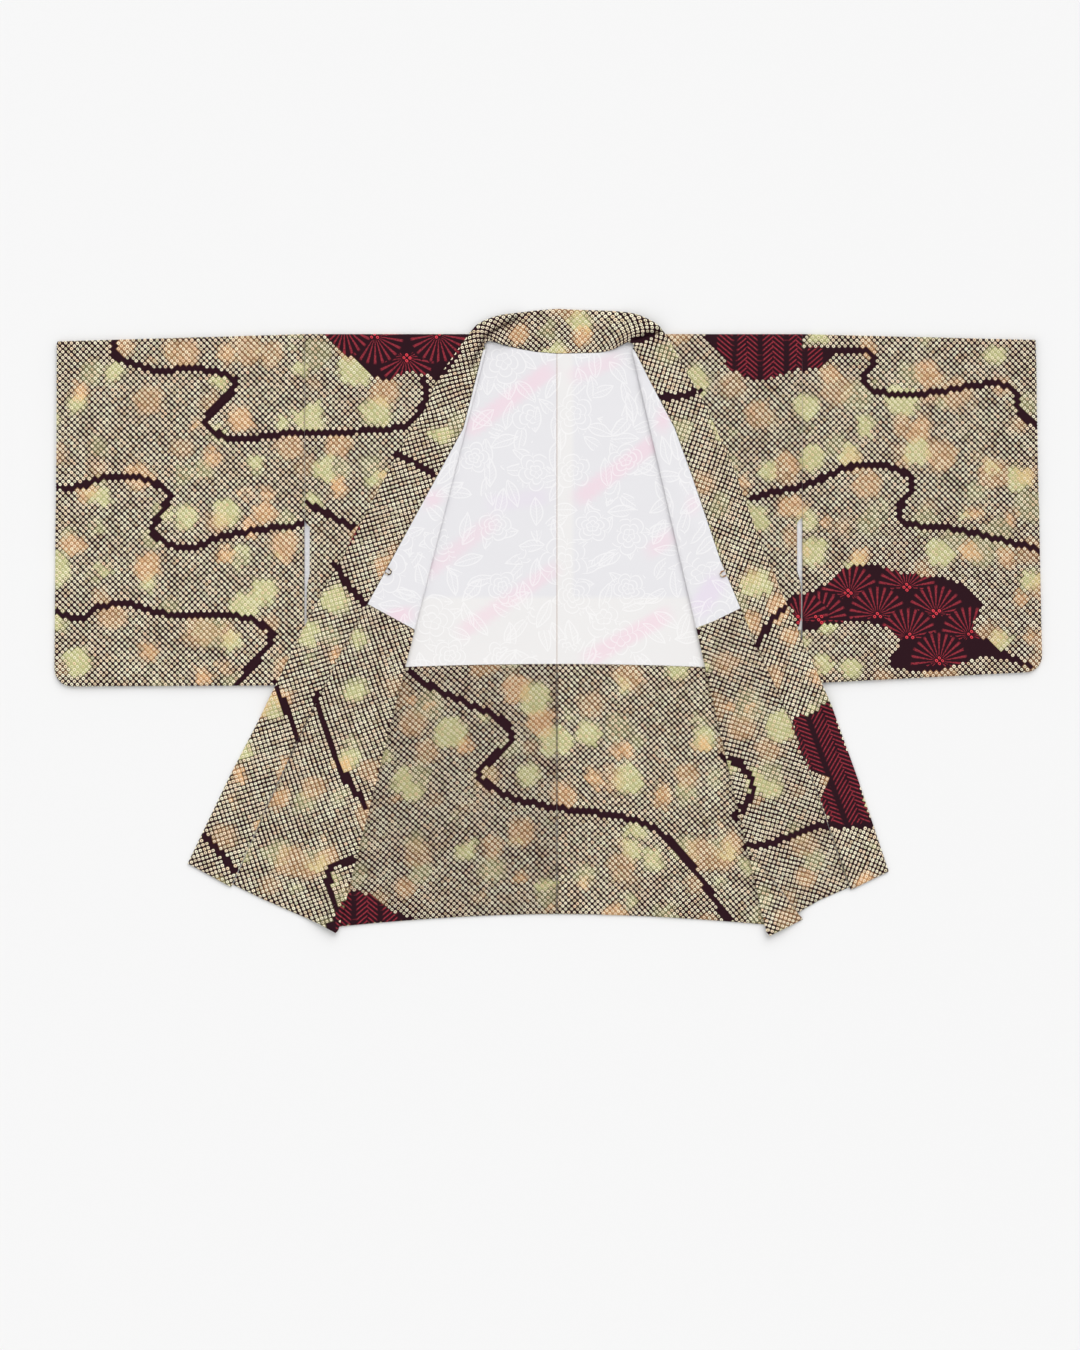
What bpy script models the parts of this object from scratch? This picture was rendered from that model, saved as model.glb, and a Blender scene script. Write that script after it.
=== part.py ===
"""Lined haori jacket, laid flat on its back with both fronts turned open.

Metres, +Z up.  Every cut piece is a thin closed wall of its own.  The cut is laid
out per side in two cloth coordinates: `out`, the distance from the centre-back
seam, and `down`, the distance below the shoulder line.  Each front is folded back
along a straight crease from the neck to the foot of the side seam, so its inside,
and the inside of its collar, lie uppermost.
"""

from collections import namedtuple
from math import cos, hypot, pi, sin

import bmesh
import bpy
from mathutils import Matrix, Vector

# Walls and the gaps between them
CLOTH = 0.0012
LINING = 0.0010
SEAM = 0.0003
LAYER = CLOTH + SEAM
TURN_RADIUS = LAYER / 2
LINING_UNDER_CLOTH = (CLOTH + LINING) / 2 + SEAM

# Mid heights of the stacked layers
BACK_LEVEL = CLOTH / 2
FRONT_LEVEL = BACK_LEVEL + 3 * LAYER
FLIPPED_LEVEL = FRONT_LEVEL + LAYER
DROP_TO_FLOOR = FLIPPED_LEVEL - BACK_LEVEL

# The tube that a flattened sleeve or shoulder makes between its two layers
TUBE_RADIUS = (FRONT_LEVEL - BACK_LEVEL) / 2
TUBE_INSET = TUBE_RADIUS + CLOTH / 2

# Sizes shared by both sides
SHOULDER_FALL = 0.003
FRONT_TOP = SHOULDER_FALL + TUBE_INSET
FACING_TOP_FRONT = 0.387
FACING_TOP_BACK = 0.432
FACING_DIP_BACK = 0.008
HEM_CENTRE = 0.757
HEM_SPRING = 1.8
GUSSET_TOP = 0.387
LAST_ROW = 0.760
WRIST_OPENING = 0.230
WRIST_LINING_SETBACK = 0.003
LOOP_DOWN = 0.337
LOOP_REACH = 0.008
LOOP_WIDTH = 0.009
LOOP_CORD = 0.0022

# The drape of the turned fronts from the garment down to the floor
DRAPE_CLEAR = 0.014
DRAPE_RUN = 0.034

# How finely folds are cut up
TURN_STEPS = 3
ROUND_STEPS = 4

Point = namedtuple("Point", "down out")
CollarWidth = namedtuple("CollarWidth", "down width")
NeckRow = namedtuple("NeckRow", "seam_out seam_down fold_out fold_down lift")
Wrist = namedtuple("Wrist", "top_down top_out bottom_down bottom_out corner")
SleeveColumn = namedtuple("SleeveColumn", "top edge at")
Side = namedtuple(
    "Side",
    "name sign armhole_out sleeve_bottom wrist crease_top crease_foot "
    "back_edge front_side front_seam front_hem collar_width neck_edge neck_rows",
)

LEFT = Side(
    name="left",
    sign=-1,
    armhole_out=0.3276,
    sleeve_bottom=0.4600,
    wrist=Wrist(top_down=0.0125, top_out=0.6500, bottom_down=0.4615, bottom_out=0.6530, corner=0.023),
    crease_top=Point(0.0156, 0.0923),
    crease_foot=Point(0.7720, 0.2847),
    back_edge=(Point(0.380, 0.3276), Point(0.7735, 0.2847)),
    front_side=(
        Point(0.2480, 0.3276), Point(0.2545, 0.3211), Point(0.3300, 0.3211),
        Point(0.3800, 0.3190), Point(0.7820, 0.2610),
    ),
    front_seam=(
        Point(0.016, 0.0954), Point(0.026, 0.0915), Point(0.092, 0.1083), Point(0.127, 0.1172),
        Point(0.240, 0.1170), Point(0.456, 0.1170), Point(0.581, 0.1220), Point(0.671, 0.1270),
        Point(0.791, 0.1370),
    ),
    front_hem=(Point(0.791, 0.137), Point(0.789, 0.180), Point(0.782, 0.261)),
    collar_width=(
        CollarWidth(0.026, 0.028), CollarWidth(0.085, 0.050), CollarWidth(0.155, 0.059),
        CollarWidth(0.581, 0.058), CollarWidth(0.791, 0.065),
    ),
    neck_edge=(
        Point(0.0286, 0.000), Point(0.0262, 0.028), Point(0.0225, 0.048),
        Point(0.0182, 0.068), Point(0.0128, 0.0855),
    ),
    neck_rows=(
        NeckRow(0.000, 0.0286, 0.000, -0.0300, 0.00),
        NeckRow(0.028, 0.0262, 0.030, -0.0275, 0.00),
        NeckRow(0.048, 0.0225, 0.055, -0.0240, 0.10),
        NeckRow(0.068, 0.0182, 0.078, -0.0205, 0.55),
        NeckRow(0.0855, 0.0128, 0.102, -0.0105, 1.00),
        NeckRow(0.0943, 0.0170, 0.112, 0.0000, 1.00),
    ),
)

RIGHT = Side(
    name="right",
    sign=1,
    armhole_out=0.3185,
    sleeve_bottom=0.4580,
    wrist=Wrist(top_down=0.0105, top_out=0.6225, bottom_down=0.4430, bottom_out=0.6305, corner=0.021),
    crease_top=Point(0.0156, 0.0975),
    crease_foot=Point(0.7740, 0.2730),
    back_edge=(Point(0.380, 0.3185), Point(0.7710, 0.2730)),
    front_side=(
        Point(0.2420, 0.3185), Point(0.2485, 0.3120), Point(0.3300, 0.3120),
        Point(0.3800, 0.3080), Point(0.7860, 0.2240),
    ),
    front_seam=(
        Point(0.016, 0.1006), Point(0.026, 0.0965), Point(0.069, 0.0960), Point(0.139, 0.0940),
        Point(0.204, 0.1010), Point(0.320, 0.1160), Point(0.438, 0.1230), Point(0.554, 0.1260),
        Point(0.650, 0.1360), Point(0.775, 0.1520),
    ),
    front_hem=(Point(0.775, 0.152), Point(0.773, 0.194), Point(0.775, 0.224)),
    collar_width=(
        CollarWidth(0.026, 0.046), CollarWidth(0.085, 0.048), CollarWidth(0.155, 0.050),
        CollarWidth(0.230, 0.056), CollarWidth(0.400, 0.058), CollarWidth(0.775, 0.056),
    ),
    neck_edge=(
        Point(0.0286, 0.000), Point(0.0280, 0.030), Point(0.0272, 0.056),
        Point(0.0228, 0.074), Point(0.0150, 0.0895),
    ),
    neck_rows=(
        NeckRow(0.000, 0.0286, 0.000, -0.0300, 0.00),
        NeckRow(0.030, 0.0280, 0.032, -0.0285, 0.00),
        NeckRow(0.056, 0.0272, 0.064, -0.0275, 0.10),
        NeckRow(0.074, 0.0228, 0.098, -0.0240, 0.55),
        NeckRow(0.0895, 0.0150, 0.121, -0.0150, 1.00),
        NeckRow(0.0996, 0.0170, 0.134, -0.0060, 1.00),
    ),
)

SIDES = (LEFT, RIGHT)

# Sleeve columns: share of the top edge, and the place on the closed edge they run to
SLEEVE_COLUMNS = (
    SleeveColumn(top=0.00, edge="bottom", at=0.00),
    SleeveColumn(top=0.45, edge="bottom", at=0.50),
    SleeveColumn(top=0.88, edge="bottom", at=1.00),
    SleeveColumn(top=0.91, edge="corner", at=0.33),
    SleeveColumn(top=0.94, edge="corner", at=0.67),
    SleeveColumn(top=0.97, edge="wrist", at=0.00),
    SleeveColumn(top=1.00, edge="wrist", at=1.00),
)


# ---------------------------------------------------------------- small helpers

def blend(a, b, t):
    return a + (b - a) * t


def smooth(t):
    t = min(max(t, 0.0), 1.0)
    return t * t * (3 - 2 * t)


def read_table(rows, key, value, at):
    """Straight-line reading of the named column `value` where column `key` is `at`."""
    pairs = sorted((getattr(row, key), getattr(row, value)) for row in rows)
    if at <= pairs[0][0]:
        return pairs[0][1]
    for (low, first), (high, second) in zip(pairs, pairs[1:]):
        if at <= high:
            return blend(first, second, (at - low) / (high - low))
    return pairs[-1][1]


def spread(first, last, count):
    """`count` evenly spaced values from first to last, both included."""
    return [blend(first, last, i / (count - 1)) for i in range(count)]


def halve(low, high, is_low):
    """Where is_low turns from true to false between low and high."""
    for _ in range(40):
        middle = (low + high) / 2
        low, high = (middle, high) if is_low(middle) else (low, middle)
    return low


def stand(side, out, down, z):
    """A place on one side of the garment, as a point in the part's frame."""
    return Vector((side.sign * out, -down, z))


# ---------------------------------------------------------------- the cut's edges

def crease_out(side, down):
    top, foot = side.crease_top, side.crease_foot
    return blend(top.out, foot.out, (down - top.down) / (foot.down - top.down))


def crease_direction(side):
    run = side.crease_foot.out - side.crease_top.out
    fall = side.crease_foot.down - side.crease_top.down
    length = hypot(run, fall)
    return run / length, fall / length


def back_side_out(side, down):
    return read_table(side.back_edge, "down", "out", down)


def front_side_out(side, down):
    """Side edge of the front: armhole, then the open slit, then the gusset seam."""
    return read_table(side.front_side, "down", "out", down)


def front_seam_out(side, down):
    """Collar seam of the front: it crosses the crease just below the neck point."""
    return read_table(side.front_seam, "down", "out", down)


def back_top_down(side, out):
    """Neckline near the centre, then the shoulder, just below the front's roll."""
    if out <= side.neck_edge[-1].out:
        return read_table(side.neck_edge, "out", "down", out) + SEAM
    return FRONT_TOP + SEAM


def back_hem_down(side, out):
    foot = side.back_edge[-1]
    return blend(HEM_CENTRE, foot.down, max(out / foot.out, 0.0) ** HEM_SPRING)


def back_facing_top(side, out):
    return FACING_TOP_BACK + FACING_DIP_BACK * (out / side.back_edge[-1].out) ** 2


# ---------------------------------------------------------------- folds and drape

def drape(side, out, down):
    """0 on top of the garment's stack, rising to 1 where the cloth is on the floor."""
    past_side = out - back_side_out(side, down)
    past_sleeve = down - side.sleeve_bottom
    return smooth((min(past_side, past_sleeve) - DRAPE_CLEAR) / DRAPE_RUN)


def turn_back(side, out, down, height):
    """Fold a cloth point over the crease.

    `height` is measured above the mid line of the outer cloth, on its right side.
    """
    run, fall = crease_direction(side)
    rel_out = out - side.crease_top.out
    rel_down = down - side.crease_top.down
    along = rel_out * run + rel_down * fall
    beyond = rel_down * run - rel_out * fall
    arc = pi * TURN_RADIUS
    if beyond <= 0:
        return stand(side, out, down, FRONT_LEVEL + height)
    if beyond < arc:
        angle = beyond / TURN_RADIUS
        reach = (TURN_RADIUS - height) * sin(angle)
        z = FRONT_LEVEL + TURN_RADIUS - (TURN_RADIUS - height) * cos(angle)
    else:
        reach = arc - beyond
        z = FLIPPED_LEVEL - height
    new_out = side.crease_top.out + along * run - reach * fall
    new_down = side.crease_top.down + along * fall + reach * run
    return stand(side, new_out, new_down, z - DROP_TO_FLOOR * drape(side, new_out, new_down))


def flipped_place(side, out, down):
    """Where a cloth point past the crease lands, as (out, down)."""
    point = turn_back(side, out, down, 0.0)
    return side.sign * point.x, -point.y


def side_edge_past_crease(side, down):
    """How far past the crease a cloth row meets the back's side edge once turned."""
    def inside(past):
        out, new_down = flipped_place(side, crease_out(side, down) - past, down)
        return out < back_side_out(side, new_down)

    return halve(0.0, side.armhole_out, inside)


def crease_arc(side):
    """Width of cloth, along a row, that is taken up by the round of the crease."""
    return pi * TURN_RADIUS / crease_direction(side)[1]


# ---------------------------------------------------------------- mesh building

def material(name, colour, roughness):
    slot = bpy.data.materials.new(name)
    slot.use_nodes = True
    shader = slot.node_tree.nodes["Principled BSDF"]
    shader.inputs["Base Color"].default_value = (*colour, 1.0)
    shader.inputs["Roughness"].default_value = roughness
    shader.inputs["Metallic"].default_value = 0.0
    return slot


def finish(name, slot, bm):
    bmesh.ops.remove_doubles(bm, verts=bm.verts, dist=2e-6)
    bmesh.ops.dissolve_degenerate(bm, edges=bm.edges, dist=2e-6)
    bmesh.ops.recalc_face_normals(bm, faces=bm.faces)
    mesh = bpy.data.meshes.new(name)
    bm.to_mesh(mesh)
    bm.free()
    mesh.shade_smooth()
    mesh.set_sharp_from_angle(angle=pi / 5)
    piece = bpy.data.objects.new(name, mesh)
    piece.data.materials.append(slot)
    bpy.context.scene.collection.objects.link(piece)
    return piece


def patch(bm, a, b, c, d):
    """Two triangles over four corners, split the short way in plan.

    Triangles whose corners stand together are left out.
    """
    short_way = (a.co - c.co).xy.length < (b.co - d.co).xy.length
    for corners in ((a, b, c), (a, c, d)) if short_way else ((a, b, d), (b, c, d)):
        places = {tuple(round(x, 6) for x in v.co) for v in corners}
        if len(places) == 3:
            bm.faces.new(corners)


def wall(name, slot, stations, columns, place, thickness, ring=False):
    """Closed wall over a grid; place(station, column, offset) gives its points."""
    bm = bmesh.new()
    outer, inner = (
        [[bm.verts.new(place(s, c, offset)) for c in columns] for s in stations]
        for offset in (thickness / 2, -thickness / 2)
    )
    rows, last = len(stations), len(columns) - 1
    for i in range(rows if ring else rows - 1):
        k = (i + 1) % rows
        for j in range(last):
            patch(bm, outer[i][j], outer[i][j + 1], outer[k][j + 1], outer[k][j])
            patch(bm, inner[k][j + 1], inner[i][j + 1], inner[i][j], inner[k][j])
        patch(bm, outer[i][0], outer[k][0], inner[k][0], inner[i][0])
        patch(bm, outer[k][last], outer[i][last], inner[i][last], inner[k][last])
    if not ring:
        for j in range(last):
            patch(bm, outer[0][j + 1], outer[0][j], inner[0][j], inner[0][j + 1])
            patch(bm, outer[-1][j], outer[-1][j + 1], inner[-1][j + 1], inner[-1][j])
    return finish(name, slot, bm)


# ---------------------------------------------------------------- hem profile

Station = namedtuple("Station", "kind at")
Profile = namedtuple("Profile", "down height n_down n_height")


def hem_turn(angle, hem):
    """Cloth mid line in the half round that turns the hem up inside."""
    across, up = sin(angle), cos(angle)
    corner = hem - TURN_RADIUS - CLOTH / 2
    return Profile(corner + TURN_RADIUS * across, TURN_RADIUS * (up - 1), across, up)


def flat_profile(kind, down):
    if kind == "facing":
        return Profile(down, -LAYER, 0.0, -1.0)
    return Profile(down, 0.0, 0.0, 1.0)


def hem_stations():
    return [Station("turn", pi * k / TURN_STEPS) for k in range(TURN_STEPS + 1)]


# ---------------------------------------------------------------- the back

def back_columns(side):
    neck = [row.out for row in side.neck_edge]
    beside_neck = neck[-1] + 2 * SEAM
    return neck + [beside_neck, 0.150, 0.240, side.armhole_out]


def back_out(side, out, down):
    """Columns keep to the grain near the centre and lean in with the side edge."""
    edge = back_side_out(side, down)
    lean = blend(1.0, edge / side.armhole_out, smooth(out / side.armhole_out))
    return min(max(out * lean, SEAM / 2), edge - SEAM / 2)


def back_piece(side, slot):
    """Back: neckline and shoulder to hem, turned up inside as a deep facing."""
    def profile(station, out):
        hem = back_hem_down(side, out)
        if station.kind == "turn":
            return hem_turn(station.at, hem)
        facing = station.kind == "facing"
        top = back_facing_top(side, out) if facing else back_top_down(side, out)
        return flat_profile(station.kind, blend(top, hem_turn(0.0, hem).down, station.at))

    def place(station, out, offset):
        row = profile(station, out)
        across = back_out(side, out, row.down)
        z = BACK_LEVEL - row.height - row.n_height * offset
        return stand(side, across, row.down + row.n_down * offset, z)

    stations = [Station("run", t) for t in (0.0, 0.2, 0.5, 0.75)]
    stations += hem_stations()
    stations += [Station("facing", t) for t in (0.5, 0.0)]
    return wall(f"back_{side.name}", slot, stations, back_columns(side), place, CLOTH)


def back_lining_piece(side, slot):
    """White lining of the back, from the neckline to the top of the facing."""
    def place(t, out, offset):
        down = blend(back_top_down(side, out), back_facing_top(side, out) - SEAM, t)
        return stand(side, back_out(side, out, down), down, BACK_LEVEL + LINING_UNDER_CLOTH + offset)

    stations = (0.0, 0.3, 0.65, 0.87, 1.0)
    return wall(f"back_lining_{side.name}", slot, stations, back_columns(side), place, LINING)


# ---------------------------------------------------------------- the fronts

# Columns run from the side edge to the crease, round it, and on to the collar seam
LOWER = [("lower", 0.0), ("lower", 1.0)]
ROUND = [("round", k / TURN_STEPS) for k in range(1, TURN_STEPS + 1)]
UPPER = [("slope", t) for t in (0.0, 0.5, 1.0)]
TURNED_COLUMNS = LOWER + ROUND + UPPER + [("edge", 1.0)]


def column_out(side, column, down, side_edge):
    """Cloth coordinate of a column before it is kept inside its own piece."""
    kind, t = column
    crease = crease_out(side, down)
    if kind == "lower":
        return blend(side_edge, min(crease, side_edge), t)
    if kind == "round":
        return crease - crease_arc(side) * t
    if kind == "slope":
        ledge = max(side_edge_past_crease(side, down) + DRAPE_CLEAR, crease_arc(side))
        return crease - ledge - DRAPE_RUN * t
    return 0.0


def front_out(side, column, down):
    side_edge = front_side_out(side, down)
    out = column_out(side, column, down, side_edge)
    return min(max(out, front_seam_out(side, down) + SEAM / 2), side_edge - SEAM / 2)


def gusset_out(side, column, down):
    back_edge = back_side_out(side, down)
    out = column_out(side, column, down, back_edge)
    return max(min(out, back_edge - SEAM / 2), front_side_out(side, down) + SEAM / 2)


def front_hem_down(side, out):
    return read_table(side.front_hem, "out", "down", out)


def meeting_rows(side, edge_out, room, first, last):
    """Rows where an edge of a piece meets the columns that follow the crease."""
    rows = []
    for column in TURNED_COLUMNS[1:-1]:
        def short(down, column=column):
            return column_out(side, column, down, side.armhole_out) < edge_out(side, down) + room

        if short(first) and not short(last):
            rows.append(halve(first, last, short))
    return rows


def run_rows(side, first, last):
    """Rows of a front: bends of its edges and the places where they meet the crease."""
    rows = {row.down for row in (*side.front_seam, *side.front_side)}
    rows |= {first, last, FACING_TOP_FRONT - SEAM, FACING_TOP_FRONT}
    rows |= set(meeting_rows(side, front_seam_out, SEAM / 2, side.front_seam[0].down, last))
    rows |= set(meeting_rows(side, front_side_out, SEAM / 2, GUSSET_TOP, last))
    rows |= set(meeting_rows(side, front_side_out, -SEAM / 2, GUSSET_TOP, last))
    rows |= set(meeting_rows(side, back_side_out, -SEAM / 2, GUSSET_TOP, last))
    return sorted(row for row in rows if first <= row <= last)


def folded(side, piece_out, station, column, offset, hem_at):
    """Folded place of a grid point of a front or gusset."""
    if station.kind == "turn":
        out = piece_out(side, column, hem_at(LAST_ROW))
        for _ in range(3):
            row = hem_turn(station.at, hem_at(out))
            out = piece_out(side, column, row.down)
    else:
        row = flat_profile(station.kind, station.at)
        out = piece_out(side, column, row.down)
    return turn_back(side, out, row.down + row.n_down * offset, row.height + row.n_height * offset)


def front_piece(side, slot):
    """Front: shoulder roll, outer face up to the crease, turned part, hem facing."""
    stations = [Station("roll", pi * (1 - k / ROUND_STEPS)) for k in range(ROUND_STEPS)]
    stations += [Station("run", row) for row in run_rows(side, FRONT_TOP, LAST_ROW)]
    stations += hem_stations()
    stations += [Station("facing", row) for row in run_rows(side, FACING_TOP_FRONT, LAST_ROW)[::-1]]

    def place(station, column, offset):
        if station.kind == "roll":
            out = front_out(side, column, FRONT_TOP)
            reach = (TUBE_RADIUS + offset) * sin(station.at)
            z = BACK_LEVEL + TUBE_RADIUS + (TUBE_RADIUS + offset) * cos(station.at)
            return stand(side, out, FRONT_TOP - reach, z)
        return folded(side, front_out, station, column, offset, lambda out: front_hem_down(side, out))

    return wall(f"front_{side.name}", slot, stations, TURNED_COLUMNS, place, CLOTH)


def front_lining_piece(side, slot):
    """White lining of the front, wrapped round the crease with the cloth."""
    def place(row, column, offset):
        out = front_out(side, column, row)
        return turn_back(side, out, row, offset - LINING_UNDER_CLOTH)

    rows = run_rows(side, FRONT_TOP + SEAM, FACING_TOP_FRONT - SEAM)
    return wall(f"front_lining_{side.name}", slot, rows, TURNED_COLUMNS, place, LINING)


def gusset_piece(side, slot):
    """Narrow wedge between back and front, turned back with the front at the hem."""
    rows = run_rows(side, GUSSET_TOP, side.front_side[-1].down - 2 * LAYER)
    stations = [Station("run", row) for row in rows]
    stations += hem_stations()
    stations += [Station("facing", row) for row in rows[::-1]]

    def place(station, column, offset):
        return folded(side, gusset_out, station, column, offset, lambda out: side.front_side[-1].down)

    return wall(f"gusset_{side.name}", slot, stations, TURNED_COLUMNS, place, CLOTH)


# ---------------------------------------------------------------- sleeves

def sleeve_piece(side, name, slot, thickness, radius, setback):
    """Flattened tube: folded top edge, closed bottom, round corner, open upper wrist."""
    wrist = side.wrist
    inner_out = side.armhole_out + SEAM / 2
    corner_out = wrist.bottom_out - wrist.corner
    corner_down = wrist.bottom_down - wrist.corner
    bend = wrist.corner - TUBE_INSET
    middle = (BACK_LEVEL + FRONT_LEVEL) / 2

    def top_of(column):
        out = blend(inner_out, wrist.top_out - setback, column.top)
        return out, blend(SHOULDER_FALL, wrist.top_down, column.top) + TUBE_INSET

    def foot_of(column):
        if column.edge == "bottom":
            down = blend(side.sleeve_bottom, wrist.bottom_down, column.at) - TUBE_INSET
            return blend(inner_out, corner_out, column.at), down, 0.0, 1.0
        if column.edge == "corner":
            angle = pi / 2 * column.at
            return corner_out + bend * sin(angle), corner_down + bend * cos(angle), sin(angle), cos(angle)
        down = blend(corner_down, WRIST_OPENING + setback, column.at)
        edge = blend(wrist.top_out, wrist.bottom_out, down / wrist.bottom_down)
        return edge - TUBE_INSET, down, 1.0, 0.0

    def place(station, column, offset):
        kind, t = station
        top_out, top_down = top_of(column)
        foot_out, foot_down, n_out, n_down = foot_of(column)
        reach = (radius + offset) * sin(pi * t)
        rise = (radius + offset) * cos(pi * t)
        if kind == "back":
            out, down = blend(foot_out, top_out, t), blend(foot_down, top_down, t)
            return stand(side, out, down, middle - radius - offset)
        if kind == "front":
            out, down = blend(top_out, foot_out, t), blend(top_down, foot_down, t)
            return stand(side, out, down, middle + radius + offset)
        if kind == "top":
            return stand(side, top_out, top_down - reach, middle - rise)
        return stand(side, foot_out + n_out * reach, foot_down + n_down * reach, middle + rise)

    ring = []
    for sheet, fold in (("back", "top"), ("front", "bottom")):
        ring += [(sheet, 0.0), (sheet, 0.5), (sheet, 1.0)]
        ring += [(fold, k / ROUND_STEPS) for k in range(1, ROUND_STEPS)]
    return wall(name, slot, ring, SLEEVE_COLUMNS, place, thickness, ring=True)


# ---------------------------------------------------------------- collar

CollarRow = namedtuple("CollarRow", "side out down run fall width lift")


def front_collar_rows(side):
    """Rows of the collar down one front, each across the collar from its seam."""
    run, fall = crease_direction(side)
    downs = {row.down for row in side.front_seam[1:-1]} | {row.down for row in side.collar_width[:-1]}
    downs |= set(spread(0.420, 0.660, 9)) | {side.front_seam[-1].down - SEAM}
    rows = []
    for down in sorted(downs):
        out, new_down = flipped_place(side, front_seam_out(side, down) - SEAM / 2, down)
        width = read_table(side.collar_width, "down", "width", down)
        rows.append(CollarRow(side, out, new_down, 1 - 2 * run * run, -2 * run * fall, width, None))
    return rows


def neck_collar_rows(side):
    rows = []
    for row in side.neck_rows:
        run = row.fold_out - row.seam_out
        fall = row.fold_down - row.seam_down
        width = hypot(run, fall)
        across = run / width, fall / width
        rows.append(CollarRow(side, row.seam_out, row.seam_down, *across, width, row.lift))
    return rows


def collar_piece(slot):
    """One long strip folded double, from hem to hem round the neck."""
    left, right = (neck_collar_rows(side) + front_collar_rows(side) for side in SIDES)
    rows = left[::-1] + right[1:]

    def place(station, row, offset):
        kind, t = station
        bend = row.width - TURN_RADIUS - CLOTH / 2
        if kind == "inner":
            across, level = blend(SEAM / 2, bend, t), LAYER + offset
        elif kind == "outer":
            across, level = blend(bend, SEAM / 2, t), -offset
        else:
            across = bend + (TURN_RADIUS + offset) * sin(pi * t)
            level = TURN_RADIUS + (TURN_RADIUS + offset) * cos(pi * t)
        out = row.out + row.run * across
        down = row.down + row.fall * across
        sunk = drape(row.side, out, down) if row.lift is None else 1 - row.lift
        return stand(row.side, out, down, FLIPPED_LEVEL + level - DROP_TO_FLOOR * sunk)

    stations = [("inner", t) for t in spread(0.0, 1.0, 5)]
    stations += [("fold", k / TURN_STEPS) for k in range(1, TURN_STEPS)]
    stations += [("outer", t) for t in spread(0.0, 1.0, 5)]
    return wall("collar", slot, stations, rows, place, CLOTH)


# ---------------------------------------------------------------- cord loops

def loop_piece(side, slot):
    """Small tied-cord loop that lies on the lining beside the collar seam."""
    seam = front_seam_out(side, LOOP_DOWN) + SEAM
    level = FLIPPED_LEVEL + LINING_UNDER_CLOTH + LINING / 2 + SEAM + LOOP_CORD / 2
    straight = LOOP_REACH - LOOP_WIDTH / 2
    radius = (LOOP_WIDTH - LOOP_CORD) / 2
    path = [(SEAM, -radius, 1.0, 0.0)]
    for angle in spread(0.0, pi, 5):
        path.append((straight + radius * sin(angle), -radius * cos(angle), cos(angle), sin(angle)))
    path.append((SEAM, radius, -1.0, 0.0))
    sides_of_cord = 6
    bm = bmesh.new()
    rings = []
    for away, along, t_away, t_along in path:
        ring = []
        for k in range(sides_of_cord):
            angle = 2 * pi * (k + 0.5) / sides_of_cord
            sideways = LOOP_CORD / 2 * cos(angle)
            cloth_out = seam + away + t_along * sideways
            out, down = flipped_place(side, cloth_out, LOOP_DOWN + along - t_away * sideways)
            ring.append(bm.verts.new(stand(side, out, down, level + LOOP_CORD / 2 * sin(angle))))
        rings.append(ring)
    for near, far in zip(rings, rings[1:]):
        for k in range(sides_of_cord):
            n = (k + 1) % sides_of_cord
            patch(bm, near[k], near[n], far[n], far[k])
    for cap in (rings[0], rings[-1][::-1]):
        for k in range(1, sides_of_cord - 1):
            bm.faces.new((cap[0], cap[k + 1], cap[k]))
    return finish(f"cord_loop_{side.name}", slot, bm)


# ---------------------------------------------------------------- assembly

def centre(pieces):
    """Shift every piece so the part's box is centred over the origin."""
    points = [v.co for piece in pieces for v in piece.data.vertices]
    low, high = (Vector(pick(axis) for axis in zip(*points)) for pick in (min, max))
    shift = Matrix.Translation((-(low.x + high.x) / 2, -(low.y + high.y) / 2, -low.z))
    for piece in pieces:
        piece.data.transform(shift)


def main():
    for old in list(bpy.data.objects):
        bpy.data.objects.remove(old, do_unlink=True)
    outer = material("kanoko_silk", (0.46, 0.40, 0.30), 0.78)
    white = material("lining_silk", (0.88, 0.87, 0.86), 0.45)
    lining_radius = TUBE_RADIUS - LINING_UNDER_CLOTH
    pieces = []
    for side in SIDES:
        pieces.append(back_piece(side, outer))
        pieces.append(back_lining_piece(side, white))
        pieces.append(front_piece(side, outer))
        pieces.append(front_lining_piece(side, white))
        pieces.append(gusset_piece(side, outer))
        pieces.append(sleeve_piece(side, f"sleeve_{side.name}", outer, CLOTH, TUBE_RADIUS, 0.0))
        lining_name = f"sleeve_lining_{side.name}"
        pieces.append(sleeve_piece(side, lining_name, white, LINING, lining_radius, WRIST_LINING_SETBACK))
        pieces.append(loop_piece(side, outer))
    pieces.append(collar_piece(outer))
    centre(pieces)


main()
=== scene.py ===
import bisect
import math
from functools import partialmethod

import bmesh
import bpy
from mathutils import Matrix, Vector, kdtree, noise


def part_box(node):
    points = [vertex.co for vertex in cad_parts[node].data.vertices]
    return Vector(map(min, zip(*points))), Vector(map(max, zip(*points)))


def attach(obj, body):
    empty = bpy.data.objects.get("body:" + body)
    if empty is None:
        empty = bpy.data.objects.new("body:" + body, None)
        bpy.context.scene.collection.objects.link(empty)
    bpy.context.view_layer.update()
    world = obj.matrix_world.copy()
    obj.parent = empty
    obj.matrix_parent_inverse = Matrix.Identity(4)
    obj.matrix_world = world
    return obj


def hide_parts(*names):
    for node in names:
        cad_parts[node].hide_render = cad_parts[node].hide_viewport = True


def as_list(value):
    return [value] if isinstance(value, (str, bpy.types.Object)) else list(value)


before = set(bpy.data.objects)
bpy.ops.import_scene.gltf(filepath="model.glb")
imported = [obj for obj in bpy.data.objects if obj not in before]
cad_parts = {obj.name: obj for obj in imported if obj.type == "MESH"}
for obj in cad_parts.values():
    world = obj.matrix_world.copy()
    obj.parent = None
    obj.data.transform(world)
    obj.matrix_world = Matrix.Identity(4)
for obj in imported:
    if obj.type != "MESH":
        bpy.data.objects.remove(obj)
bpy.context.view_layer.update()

# Shared sizes of the sewn jacket, in metres
wall = {"cloth": 0.0012, "seam": 0.0003, "turn": 0.00075, "underCloth": 0.0014}
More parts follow.
